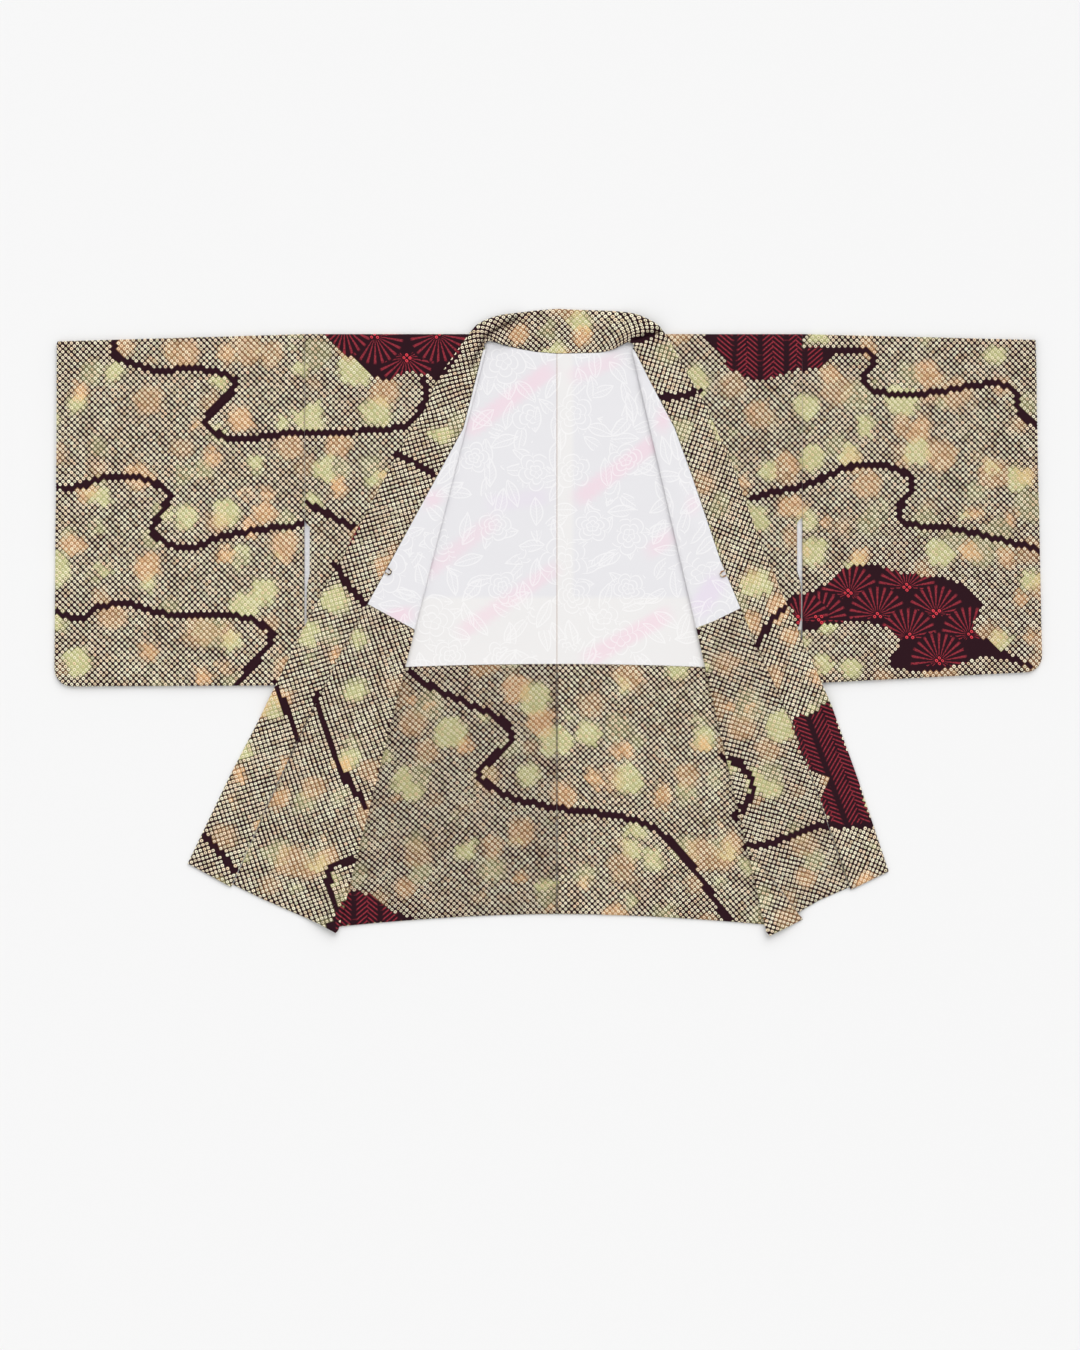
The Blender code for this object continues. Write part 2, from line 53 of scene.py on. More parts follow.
layer = wall["cloth"] + wall["seam"]
halfGap = wall["seam"] / 2
level = {"back": 0.0006, "front": 0.0051, "turned": 0.0066}
dropToFloor = level["turned"] - level["back"]
floorGap = 0.0001
shoulder = 0.003  # how far the shoulder line lies above the top edge of the panels
tube = {"radius": 0.00225, "inset": 0.00285}
rollLength = math.pi * tube["radius"]
turnArc = math.pi * wall["turn"]
turnRoom = wall["turn"] + wall["cloth"] / 2
drapeFall = {"clear": 0.014, "run": 0.034}
sleeveCut = {"opening": 0.230, "setback": 0.003, "cornerSteps": 6, "scores": (0.13, 0.5, 1.0)}
backShape = {"centreHem": 0.757, "hemCurve": 1.8, "facingDip": 0.008, "neckLap": 0.0006, "steps": 6}
tops = {"front": shoulder + tube["inset"], "facingFront": 0.387, "facingBack": 0.432, "gusset": 0.387}

# The two silks: sizes of the cut mesh, and how near two points count as one place
diagonal = math.sqrt(0.5)
weave = {"pitch": 0.0054, "ways": ((diagonal, diagonal), (diagonal, -diagonal)), "thickness": 0.0007,
         "lift": 0.0003, "notch": 0.0009, "whole": 0.93, "slot": "kanoko_silk"}
liningWeave = {"pitch": 0.006, "ways": ((1, 0), (0, 1)), "thickness": 0.0006, "slot": "lining_silk"}
near = {"cut": 1e-6, "score": 2e-5, "weld": 1e-5, "seam": 0.001}
smoothBelow = 50

# Seat of the centre back seam and of the shoulder line, read from the frame
backBox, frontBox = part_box("back_left"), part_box("front_left")
seat = {"x": backBox[1][0] + wall["seam"] / 2, "y": frontBox[1][1] + shoulder}

# The cut of each side: rows are (down, out)
sides = {
    "left": {
        "sign": -1, "armhole": 0.3276, "sleeveBottom": 0.4600,
        "wrist": {"topDown": 0.0125, "topOut": 0.6500, "bottomDown": 0.4615, "bottomOut": 0.6530,
                  "corner": 0.023},
        "crease": [(0.0156, 0.0923), (0.7720, 0.2847)],
        "backEdge": [(0.380, 0.3276), (0.7735, 0.2847)],
        "frontSide": [(0.2480, 0.3276), (0.2545, 0.3211), (0.3140, 0.3211), (0.3320, 0.3248),
                      (0.3730, 0.3253), (0.3850, 0.3225), (0.4000, 0.3161), (0.7820, 0.2610)],
        "frontSeam": [(0.016, 0.0954), (0.026, 0.0915), (0.092, 0.1083), (0.127, 0.1172), (0.240, 0.1170),
                      (0.456, 0.1170), (0.581, 0.1220), (0.671, 0.1270), (0.791, 0.1370)],
        "frontHem": [(0.137, 0.791), (0.180, 0.789), (0.261, 0.782)],  # out, down
        "collarWidth": [(0.026, 0.028), (0.085, 0.050), (0.155, 0.059), (0.581, 0.058), (0.791, 0.065)],
        "neckEdge": [(0.000, 0.0286), (0.028, 0.0262), (0.048, 0.0225), (0.068, 0.0182), (0.0855, 0.0128)],
        # seam out, seam down, fold out, fold down, how far it rides up on the front
        "neckRows": [(0.000, 0.0286, 0.000, -0.0300, 0.00), (0.028, 0.0262, 0.030, -0.0275, 0.00),
                     (0.048, 0.0225, 0.055, -0.0240, 0.10), (0.068, 0.0182, 0.078, -0.0205, 0.55),
                     (0.0855, 0.0128, 0.102, -0.0105, 1.00), (0.0943, 0.0170, 0.112, 0.0000, 1.00)],
    },
    "right": {
        "sign": 1, "armhole": 0.3185, "sleeveBottom": 0.4580,
        "wrist": {"topDown": 0.0105, "topOut": 0.6225, "bottomDown": 0.4430, "bottomOut": 0.6305,
                  "corner": 0.021},
        "crease": [(0.0156, 0.0975), (0.7740, 0.2730)],
        "backEdge": [(0.380, 0.3185), (0.7710, 0.2730)],
        "frontSide": [(0.2420, 0.3185), (0.2485, 0.3120), (0.3100, 0.3120), (0.3280, 0.3169),
                      (0.3720, 0.3172), (0.3850, 0.3140), (0.4000, 0.3039), (0.7860, 0.2240)],
        "frontSeam": [(0.016, 0.1006), (0.026, 0.0965), (0.069, 0.0960), (0.139, 0.0940), (0.204, 0.1010),
                      (0.320, 0.1160), (0.438, 0.1230), (0.554, 0.1260), (0.650, 0.1360), (0.775, 0.1520)],
        "frontHem": [(0.152, 0.775), (0.194, 0.773), (0.224, 0.775)],
        "collarWidth": [(0.026, 0.046), (0.085, 0.048), (0.155, 0.050), (0.230, 0.056), (0.400, 0.058),
                        (0.775, 0.056)],
        "neckEdge": [(0.000, 0.0286), (0.030, 0.0280), (0.056, 0.0272), (0.074, 0.0228), (0.0895, 0.0150)],
        "neckRows": [(0.000, 0.0286, 0.000, -0.0300, 0.00), (0.030, 0.0280, 0.032, -0.0285, 0.00),
                     (0.056, 0.0272, 0.064, -0.0275, 0.10), (0.074, 0.0228, 0.098, -0.0240, 0.55),
                     (0.0895, 0.0150, 0.121, -0.0150, 1.00), (0.0996, 0.0170, 0.134, -0.0060, 1.00)],
    },
}


# Small helpers
def blend(a, b, t):
    return a + (b - a) * t


def smooth(t):
    t = min(max(t, 0.0), 1.0)
    return t * t * (3 - 2 * t)


def readTable(rows, at):
    if at <= rows[0][0]:
        return rows[0][1]
    for (low, first), (high, second) in zip(rows, rows[1:]):
        if at <= high:
            return blend(first, second, (at - low) / (high - low))
    return rows[-1][1]


def linearColour(*screen):
    shares = [tone / 255 for tone in screen]
    return (*[c / 12.92 if c <= 0.04045 else ((c + 0.055) / 1.055) ** 2.4 for c in shares], 1.0)


def stand(side, out, down, z):
    return Vector((seat["x"] + side["sign"] * out, seat["y"] - down, z))


def planOf(point):
    # millimetres right of the centre back seam and below the shoulder line
    return (point.x - seat["x"]) * 1000, (seat["y"] - point.y) * 1000


def besideLine(line, x, y):
    # how far along a line a place lies, how far to one side, and the line's length
    ax, ay, bx, by = line[:4]
    length = math.hypot(bx - ax, by - ay)
    along = ((x - ax) * (bx - ax) + (y - ay) * (by - ay)) / length
    across = ((x - ax) * (by - ay) - (y - ay) * (bx - ax)) / length
    return along, across, length


def throughPoints(points, closed=False, steps=12):
    # a smooth line through given points
    count = len(points)
    line = []
    for i in range(count if closed else count - 1):
        around = [(i + k) % count if closed else min(max(i + k, 0), count - 1) for k in (-1, 0, 1, 2)]
        for step in range(steps):
            t = step / steps
            weights = (-t + 2 * t * t - t ** 3, 2 - 5 * t * t + 3 * t ** 3,
                       t + 4 * t * t - 3 * t ** 3, t ** 3 - t * t)
            line.append(tuple(sum(w * points[j][axis] for w, j in zip(weights, around)) / 2
                              for axis in range(len(points[0]))))
    return line if closed else line + [tuple(points[-1])]


def insideOf(outline, x, y):
    inside = False
    for (ax, ay), (bx, by) in zip(outline, outline[1:] + outline[:1]):
        if (ay > y) != (by > y) and x < ax + (y - ay) * (bx - ax) / (by - ay):
            inside = not inside
    return inside


# Edges of the cut
def creaseOut(side, down):
    (topDown, topOut), (footDown, footOut) = side["crease"]
    return blend(topOut, footOut, (down - topDown) / (footDown - topDown))


def creaseDirection(side):
    (topDown, topOut), (footDown, footOut) = side["crease"]
    length = math.hypot(footOut - topOut, footDown - topDown)
    return (footOut - topOut) / length, (footDown - topDown) / length


def backTop(side, out):
    if out <= side["neckEdge"][-1][0]:
        return readTable(side["neckEdge"], out) + wall["seam"]
    return tops["front"] + wall["seam"]


def backHem(side, out):
    footDown, footOut = side["backEdge"][-1]
    return blend(backShape["centreHem"], footDown, max(out / footOut, 0.0) ** backShape["hemCurve"])


def backFacingTop(side, out):
    return tops["facingBack"] + backShape["facingDip"] * (out / side["backEdge"][-1][1]) ** 2


# Folds and drape
def drape(side, out, down):
    pastSide = out - readTable(side["backEdge"], down)
    pastSleeve = down - side["sleeveBottom"]
    return smooth((min(pastSide, pastSleeve) - drapeFall["clear"]) / drapeFall["run"])


def pastCrease(side, out, down):
    run, fall = creaseDirection(side)
    topDown, topOut = side["crease"][0]
    return (down - topDown) * run - (out - topOut) * fall


def turnBack(side, out, down, height):
    # cloth of a front that folds back on itself along the crease
    run, fall = creaseDirection(side)
    topDown, topOut = side["crease"][0]
    along = (out - topOut) * run + (down - topDown) * fall
    beyond = pastCrease(side, out, down)
    turn = wall["turn"]
    if beyond <= 0:
        return stand(side, out, down, level["front"] + height)
    if beyond < turnArc:
        reach = (turn - height) * math.sin(beyond / turn)
        z = level["front"] + turn - (turn - height) * math.cos(beyond / turn)
    else:
        reach = turnArc - beyond
        z = level["turned"] - height
    newOut = topOut + along * run - reach * fall
    newDown = topDown + along * fall + reach * run
    return stand(side, newOut, newDown, z - dropToFloor * drape(side, newOut, newDown))


def hemTurn(v, hem, height):
    # cloth that runs down to the hem, round it and up inside: down and height of its mid line
    corner = hem - turnRoom
    past = v - corner
    if past <= 0:
        return v, height
    if past < turnArc:
        angle, radius = past / wall["turn"], wall["turn"] + height
        return corner + radius * math.sin(angle), radius * math.cos(angle) - wall["turn"]
    return corner - (past - turnArc), -layer - height


def facingV(down, hem):
    return 2 * (hem - turnRoom) + turnArc - down


# Cloth is cut flat, in metres across and along the grain, and scored along its dots before it is folded.
def cutOut(outline, pitch, ways):
    bm = bmesh.new()
    bm.faces.new([bm.verts.new((u, v, 0)) for u, v in outline])
    for way in ways:
        normal = Vector((*way, 0))
        reach = [normal.dot((u, v, 0)) for u, v in outline]
        ahead = list(bm.faces)
        for k in range(math.ceil(min(reach) / pitch), math.floor(max(reach) / pitch) + 1):
            parts = list(dict.fromkeys([edge for face in ahead for edge in face.edges]))
            parts += list(dict.fromkeys([vert for face in ahead for vert in face.verts]))
            cut = bmesh.ops.bisect_plane(bm, geom=ahead + parts, dist=near["cut"],
                                         plane_co=normal * k * pitch, plane_no=normal)
            faces = [part for part in cut["geom"] if isinstance(part, bmesh.types.BMFace)]
            ahead = [face for face in faces if face.calc_center_median().dot(normal) > k * pitch]
    return bm


def scoreAlong(bm, measure):
    # adds a line of edges where measure(u, v) is nought
    found = {vert: measure(vert.co.x, vert.co.y) for vert in bm.verts}
    for vert, value in found.items():
        if abs(value) < near["score"]:
            found[vert] = 0.0
    for edge in list(bm.edges):
        a, b = edge.verts
        if found[a] * found[b] < 0:
            share = found[a] / (found[a] - found[b])
            found[bmesh.utils.edge_split(edge, a, share)[1]] = 0.0
    for face in list(bm.faces):
        onLine = [loop.vert for loop in face.loops if found[loop.vert] == 0.0]
        if len(onLine) == 2 and not bm.edges.get(onLine):
            bmesh.utils.face_split(face, *onLine)


def cellOf(u, v):
    return math.floor((u + v) * diagonal / weave["pitch"]), math.floor((u - v) * diagonal / weave["pitch"])


def cellCentre(cell):
    a, b = ((index + 0.5) * weave["pitch"] for index in cell)
    return (a + b) * diagonal, (a - b) * diagonal


# The pattern as it lies on the laid jacket, in millimetres right of the centre back and below the shoulder.
# Streams are bare lines of the dark ground, one dot wide, that wander through the dots.
streamHalf = 3.8
streams = (
    [(-571, 4), (-575, 24), (-567, 35), (-548, 42), (-522, 50), (-480, 49), (-450, 51), (-427, 59),
     (-418, 72), (-454, 112), (-453, 122), (-436, 136), (-414, 140), (-381, 137), (-346, 132),
     (-300, 131), (-244, 129), (-198, 123), (-181, 108), (-170, 84), (-174, 62)],
    [(-652, 202), (-622, 202), (-588, 190), (-542, 190), (-518, 200), (-504, 216), (-524, 252),
     (-522, 264), (-504, 276), (-470, 280), (-430, 265), (-328, 250)],
    [(-652, 364), (-618, 372), (-596, 358), (-556, 354), (-522, 364), (-478, 370), (-412, 370),
     (-384, 380), (-370, 396), (-386, 422), (-420, 462)],
    [(-324, 224), (-296, 238), (-266, 254)],
    [(-210, 158), (-180, 172), (-160, 188)],
    [(-288, 302), (-272, 328), (-248, 354)],
    [(-366, 458), (-350, 494), (-336, 528)],
    [(-312, 472), (-296, 530), (-276, 576), (-246, 618)],
    [(-266, 686), (-290, 694), (-296, 712), (-280, 768)],
    [(-462, 652), (-440, 674), (-418, 702)],
    [(-188, 442), (-166, 460), (-114, 484), (-74, 504), (-58, 526), (-74, 546), (-100, 570), (-98, 582),
     (-62, 604), (-6, 618), (56, 626), (120, 642), (170, 688), (222, 764)],
    [(136, 86), (160, 84), (186, 76)],
    [(254, 218), (274, 210), (322, 200), (350, 188), (380, 176), (420, 174), (452, 184), (462, 202),
     (446, 226), (446, 242), (466, 252), (524, 258), (628, 284)],
    [(354, 26), (402, 26), (410, 42), (400, 58), (404, 72), (426, 80), (484, 80), (562, 68), (592, 75),
     (597, 94), (607, 111), (626, 123)],
    [(214, 554), (238, 562), (252, 584), (252, 602), (232, 630)],
    [(244, 668), (276, 664), (316, 650), (348, 642), (414, 640)],
    [(260, 406), (274, 382), (306, 348), (326, 346)],
    [(310, 508), (332, 500), (348, 486)],
    [(344, 608), (354, 588), (358, 580)],
    # this last short dash of bare ground is painted shade: the dark of the pinched fold at the right of the
    # neck
    [(101, 12), (112, 9), (122, 5)],
)

# Islands of pine fans and of leaves. A fan opens up or down from each base.
# A stem is a place on it and its lean in degrees.
fans = {"radius": 38, "step": 16, "turns": 40.5, "heel": 4, "berryReach": 5.2, "berryStretch": 1.2}
leaves = {"pitch": 6.5, "slope": 0.85, "half": 24}
islands = (
    {"edge": [(304, 350), (322, 341), (344, 332), (384, 304), (420, 305), (444, 314), (510, 322),
              (536, 336), (553, 355), (540, 380), (562, 404), (618, 436), (566, 423), (538, 426),
              (490, 442), (446, 438), (432, 427), (444, 408), (440, 392), (404, 376), (354, 380),
              (320, 388)],
     "opens": -1, "bases": [(316, 374), (340, 374), (380, 340), (416, 368), (454, 332), (492, 366),
                            (456, 396), (536, 394), (496, 428)]},
    {"edge": [(-304, -12), (-298, 6), (-272, 30), (-240, 57), (-220, 62), (-200, 53), (-168, 55),
              (-152, 60), (-124, 22), (-126, -12)],
     "opens": 1, "bases": [(-236, 6), (-196, 34), (-154, 4), (-276, -6)]},
    {"edge": [(192, -8), (214, 28), (226, 48), (262, 64), (306, 50), (326, 50), (344, 44), (362, 30),
              (350, 20), (320, 20), (312, -8)],
     "stems": [(231, 70, 0), (264, 70, 0), (298, 70, 0), (322, 70, 0)]},
    {"edge": [(-300, 790), (-286, 756), (-267, 727), (-234, 738), (-214, 753), (-180, 768), (-200, 790)],
     "stems": [(-264, 790, 0), (-230, 790, 0)]},
    {"edge": [(306, 508), (334, 498), (354, 482), (384, 552), (404, 596), (424, 631), (392, 637),
              (362, 640), (344, 608), (358, 580), (330, 570)],
     "stems": [(329, 510, -20), (300, 520, -20), (392, 560, -20)]},
)
for island in islands:
    island["loop"] = throughPoints(island["edge"], closed=True, steps=4)
    across, down = zip(*island["loop"])
    island["reach"] = min(across), max(across), min(down), max(down)
streamPoints = [point for stream in streams for point in throughPoints(stream, steps=36)]
streamTree = kdtree.KDTree(len(streamPoints))
for number, (x, y) in enumerate(streamPoints):
    streamTree.insert((x, y, 0), number)
streamTree.balance()

kinds = {"dots": 0, "bare": 1, "strokes": 2, "berries": 3}
underShift = {"x": 60, "y": 90}  # how the pattern of what faces down is set off from the one on top


def besideStem(stem, x, y):
    # how far from a stem and how far along it a place lies
    stemX, stemY, lean = stem
    run, rise = math.cos(math.radians(lean)), math.sin(math.radians(lean))
    return abs((x - stemX) * run + (y - stemY) * rise), (y - stemY) * run - (x - stemX) * rise


def fanGuide(island, x, y):
    # the base of the front one of the fans that cover this place
    opens = island["opens"]
    covering = [base for base in island["bases"] if (y - base[1]) * opens > -fans["heel"]
                and math.hypot(x - base[0], y - base[1]) < fans["radius"]]
    return max(covering, key=lambda base: -base[1] * opens, default=None)


def cellLook(x, y):
    # what is tied or painted in the cell at this place, and the fan or stem that its strokes follow
    for island in islands:
        left, right, top, foot = island["reach"]
        if not (left < x < right and top < y < foot and insideOf(island["loop"], x, y)):
            continue
        if "stems" in island:
            nearest = min(island["stems"], key=lambda stem: besideStem(stem, x, y)[0])
            return kinds["strokes"], ("stem", *nearest)
        for baseX, baseY in island["bases"]:
            if math.hypot((x - baseX) / fans["berryStretch"], y - baseY) < fans["berryReach"]:
                return kinds["berries"], None
        base = fanGuide(island, x, y)
        return (kinds["strokes"], (island["opens"], *base)) if base else (kinds["bare"], None)
    onStream = streamTree.find((x, y, 0))[2] < streamHalf
    return kinds["bare" if onStream else "dots"], None


def strokePlace(guide, x, y):
    # how far round the fan or along the leaf a point is, in strokes, and how far out
    if guide[0] == "stem":
        across, along = besideStem(guide[1:], x, y)
        return (along + leaves["slope"] * across) / leaves["pitch"], across / leaves["half"]
    opens, baseX, baseY = guide
    angle = math.degrees(math.atan2(x - baseX, (y - baseY) * opens))
    return angle / fans["step"] + fans["turns"], math.hypot(x - baseX, y - baseY) / fans["radius"]


# Soft creases of what lies on top, in millimetres: both ends, half width, height (a trough is below nought)
creases = (
    (103, 45, 118, 92, 5, 1.1), (112, 40, 126, 78, 4, -0.5), (120, 58, 130, 102, 4, 0.9),
    (98, 60, 104, 98, 4, 0.6), (-150, 110, -172, 190, 7, 0.7), (-138, 132, -150, 220, 6, -0.4),
    (-118, 60, -132, 110, 6, 0.6), (-200, 190, -214, 250, 8, 0.9), (-186, 214, -196, 262, 6, -0.5),
    (150, 190, 182, 262, 8, 0.8), (166, 170, 200, 250, 6, -0.4), (196, 214, 214, 272, 7, 0.7),
    (-98, -2, -126, 36, 4.5, 3.0), (-60, 8, -92, 20, 5, 2.4), (94, 23, 128, 14, 4, 3.0),
    (70, -10, 112, -22, 6, 1.8), (100, 34, 122, 60, 4, 1.8), (94, 38, 110, 62, 3.5, -1.6),
    (362, 650, 380, 718, 8, 1.6), (350, 652, 366, 716, 6, -0.9), (300, 700, 318, 760, 8, 1.0),
    (-330, 470, -352, 560, 9, 1.2), (-314, 480, -336, 566, 7, -0.7), (-286, 600, -330, 700, 9, 1.0),
    (-420, 560, -402, 640, 10, 1.0), (300, 560, 322, 640, 8, 1.0), (238, 470, 262, 556, 9, 0.9),
    (-250, 520, -262, 640, 9, 0.9), (-150, 640, -128, 740, 10, 0.5), (60, 470, 66, 560, 9, 0.4),
    (150, 520, 158, 620, 9, 0.5), (-60, 660, -66, 740, 9, 0.4),
)

# the sharp folds of the collar at the neck
neckFolds = (
    (-48, -27, -97, -3, 4.5, 3.6), (-50, -19, -93, 6, 2.6, -5.0), (-93, 6, -112, 48, 2.6, -4.2),
    (98, 12, 136, 0, 2.6, -5.6), (96, 3, 130, -8, 4.0, 3.6),
)
undulation = {"across": 42, "along": 55, "height": 0.0006}


def nearCrease(crease, x, y):
    # 1 on the line of a crease, falling to 0 beside it and past its ends
    ax, ay, bx, by, half, _ = crease
    room = 3 * half
    if not (min(ax, bx) - room < x < max(ax, bx) + room and min(ay, by) - room < y < max(ay, by) + room):
        return 0.0
    along, across, length = besideLine(crease, x, y)
    ends = smooth(along / (2 * half) + 0.5) * smooth((length - along) / (2 * half) + 0.5)
    return ends * math.exp(-(across / half) ** 2)


def creaseHeight(x, y):
    total = sum(crease[5] * nearCrease(crease, x, y) for crease in creases + neckFolds)
    swell = 0.5 + noise.noise(Vector((x / undulation["across"], y / undulation["along"], 0.0)))
    return total / 1000 + undulation["height"] * swell


def pleatShadeAt(x, y):
    # how far down in a pleat of the neck a place lies, which sets the painted shade of the dots there
    return max(nearCrease(crease, x, y) for crease in neckFolds if crease[5] < 0)


def hang(name, bm, material):
    # the finished mesh becomes an object of the scene
    mesh = bpy.data.meshes.new(name)
    bm.to_mesh(mesh)
    bm.free()
    mesh.materials.append(material)
    piece = bpy.data.objects.new(name, mesh)
    bpy.context.scene.collection.objects.link(piece)
    return piece


def thicken(piece, thickness):
    bpy.ops.object.select_all(action="DESELECT")
    piece.select_set(True)
    bpy.context.view_layer.objects.active = piece
    wallModifier = piece.modifiers.new("wall", "SOLIDIFY")
    wallModifier.thickness = thickness
    wallModifier.offset = 0
    bpy.ops.object.modifier_apply(modifier=wallModifier.name)
    bpy.ops.object.shade_smooth_by_angle(angle=math.radians(smoothBelow))


def declare(piece, node=None):
    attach(piece, "root")
    if node:
        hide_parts(node)


def flatSize(bm, layers):
    across = [vert.co.x for vert in bm.verts]
    along = [vert.co.y for vert in bm.verts]
    size = max(across) - min(across), layers * (max(along) - min(along))
    return size, layers * sum(face.calc_area() for face in bm.faces)


def notchEdges(bm, tube):
    # a free edge draws in a little between its dots and a sewn one does not: the first layer holds each
    # point's way in, the second marks the points of sewn edges, along which the dots get painted shade
    layer = bm.verts.layers.float_vector.new("notch")
    seamLayer = bm.verts.layers.float.new("sewn")
    inner = min(vert.co.x for vert in bm.verts)
    rim = []
    for edge in bm.edges:
        first, last = (vert.co for vert in edge.verts)
        atSeam = first.x < inner + near["seam"]
        sewn = atSeam if tube else abs(last.y - first.y) > 3 * abs(last.x - first.x)
        if edge.is_boundary and sewn:
            for vert in edge.verts:
                vert[seamLayer] = 1.0
        elif edge.is_boundary:
            rim.append(edge)
    for vert in {vert: None for edge in rim for vert in edge.verts}:
        inward = sum((face.calc_center_median() - vert.co for face in vert.link_faces), Vector())
        vert[layer] = inward.normalized() * weave["notch"]
    for edge in rim:
        if edge.calc_length() > 3 * weave["notch"]:
            fresh = bmesh.utils.edge_split(edge, edge.verts[0], 0.5)[1]
            fresh[layer] = (0, 0, 0)
            fresh[seamLayer] = 0.0


def doubleUp(bm):
    # a second sheet under the first for the back of a tube; its points are marked by a flat z of 1
    twin = bmesh.ops.duplicate(bm, geom=bm.verts[:] + bm.edges[:] + bm.faces[:])["geom"]
    bmesh.ops.reverse_faces(bm, faces=[part for part in twin if isinstance(part, bmesh.types.BMFace)])
    for part in twin:
        if isinstance(part, bmesh.types.BMVert):
            part.co.z = 1


def seenFrom(point, facesUp):
    x, y = planOf(point)
    return (x, y) if facesUp else (underShift["x"] - x, y + underShift["y"])


# how much darker the dots are drawn on some pieces, and how strong the painted shade is along their sewn
# edges
pieceDarkening = {"back_left": 0.22, "back_right": 0.06, "front_left": 0.04, "front_right": 0.08,
            "sleeve_right": 0.05}
seamShadeStrength = {"back": 1.0, "other": 0.78}


def foldPatterned(bm, node, place, mirror):
    # looks of each cell, raised dots, then every point goes to its folded place
    notch = bm.verts.layers.float_vector["notch"]
    sewn = bm.verts.layers.float["sewn"]
    grain = bm.loops.layers.uv.new("grain")
    weaveLayer = bm.loops.layers.float_vector.new("weave")
    shade = bm.loops.layers.float_vector.new("shade")
    depth = pieceDarkening.get(node, 0.0)
    # strength of the painted shade along the sewn edges of this piece
    dark = seamShadeStrength["back" if node.startswith("back") else "other"]
    looks = {}

    def lookOf(face):
        middle = face.calc_center_median()
        cell = (*cellOf(middle.x, middle.y), middle.z > 0.5)
        if cell not in looks:
            flat = Vector((*cellCentre(cell[:2]), middle.z))
            centre = place(flat, 0.0)
            facesUp = place(flat, 0.001).z > centre.z
            looks[cell] = (*cellLook(*seenFrom(centre, facesUp)), facesUp)
        return looks[cell]

    tied = (kinds["dots"], kinds["berries"])
    fullCell = weave["whole"] * weave["pitch"] ** 2
    whole = [face for face in bm.faces if face.calc_area() > fullCell and lookOf(face)[0] in tied]
    raised = set(bmesh.ops.poke(bm, faces=whole)["verts"])
    placed = {}
    for vert in bm.verts:
        knob = 0.0
        if vert in raised:
            knob = weave["lift"] * (0.75 + 0.5 * noise.cell(vert.co / weave["pitch"] * 0.7))
        point = place(vert.co, knob)
        if vert[notch].length > 0:
            drawn = place(vert.co + vert[notch], knob)
            point = Vector((drawn.x, drawn.y, point.z))
        point.z = max(point.z, weave["thickness"] / 2 + floorGap)
        placed[vert] = point
    # painted shade in the troughs of the neck pleats
    pleatShades = {vert: pleatShadeAt(*planOf(point)) for vert, point in placed.items()}
    for face in bm.faces:
        kind, guide, facesUp = lookOf(face)
        for loop in face.loops:
            loop[shade] = (depth, loop.vert[sewn] * dark, pleatShades[loop.vert])
            loop[grain].uv = mirror * loop.vert.co.x, loop.vert.co.y
            turn, reach = strokePlace(guide, *seenFrom(placed[loop.vert], facesUp)) if guide else (0, 0)
            loop[weaveLayer] = (turn, reach, kind)
    for vert, point in placed.items():
        vert.co = point
    bm.verts.layers.float_vector.remove(notch)
    bm.verts.layers.float.remove(sewn)


def foldLining(bm, node, place):
    grain = bm.loops.layers.uv.new("grain")
    tint = bm.loops.layers.float_vector.new("tint")
    placed = {vert: place(vert.co, 0.0) for vert in bm.verts}
    tints = {vert: liningTint(node, *planOf(point)) for vert, point in placed.items()}
    for face in bm.faces:
        for loop in face.loops:
            x, y = planOf(placed[loop.vert])
            loop[grain].uv = x / 1000, y / 1000
            loop[tint] = tints[loop.vert]
    for vert, point in placed.items():
        vert.co = point


def sew(node, outline, place, scores, held, restsOn, lined=False, tube=False, width=None, mirror=1):
    # cuts a piece flat, scores, folds and thickens it, and says which node it stands for
    cloth = liningWeave if lined else weave
    bm = cutOut(outline, cloth["pitch"], cloth["ways"])
    size, area = flatSize(bm, 2 if tube else 1)
    for score in scores:
        scoreAlong(bm, score)
    if not lined:
        notchEdges(bm, tube)
    if tube:
        doubleUp(bm)
    if lined:
        foldLining(bm, node, place)
    else:
        foldPatterned(bm, node, place, mirror)
    if tube:
        bmesh.ops.remove_doubles(bm, verts=bm.verts, dist=near["weld"])
    piece = hang(node + "_silk", bm, liningSilk if lined else kanokoSilk)
    thicken(piece, cloth["thickness"])
    declare(piece, node)
    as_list(restsOn)
    print("sewn", piece.name, len(piece.data.polygons), "faces")


# Shader wiring. A signal is an output socket, and arithmetic on signals lays math nodes.
class Signal:
    def __init__(self, socket):
        self.socket = socket
        self.nodes = socket.id_data.nodes

    def apply(self, operation, *others):
        return lay(self.nodes, "Math", enumerate((self, *others)), operation=operation)

    def under(self, operation, other):
        return lay(self.nodes, "Math", enumerate((other, self)), operation=operation)

    __add__ = partialmethod(apply, "ADD")
    __sub__ = partialmethod(apply, "SUBTRACT")
    __rsub__ = partialmethod(under, "SUBTRACT")
    __mul__ = partialmethod(apply, "MULTIPLY")
    __truediv__ = partialmethod(apply, "DIVIDE")
    __rtruediv__ = partialmethod(under, "DIVIDE")
    __pow__ = partialmethod(apply, "POWER")
    __abs__ = partialmethod(apply, "ABSOLUTE")


def feed(socket, value):
    if isinstance(value, Signal):
        socket.id_data.links.new(value.socket, socket)
    else:
        socket.default_value = value


def lay(nodes, kind, given, output=0, **settings):
    # a new node with its settings made and its inputs fed, as the signal of one of its outputs
    node = nodes.new("ShaderNode" + kind)
    for name, value in settings.items():
        setattr(node, name, value)
    for key, value in given:
        feed(node.inputs[key], value)
    return Signal(node.outputs[output])


def outputsOf(signal):
    return {socket.name: Signal(socket) for socket in signal.socket.node.outputs}


def largest(first, *others):
    for other in others:
        first = first.apply("MAXIMUM", other)
    return first


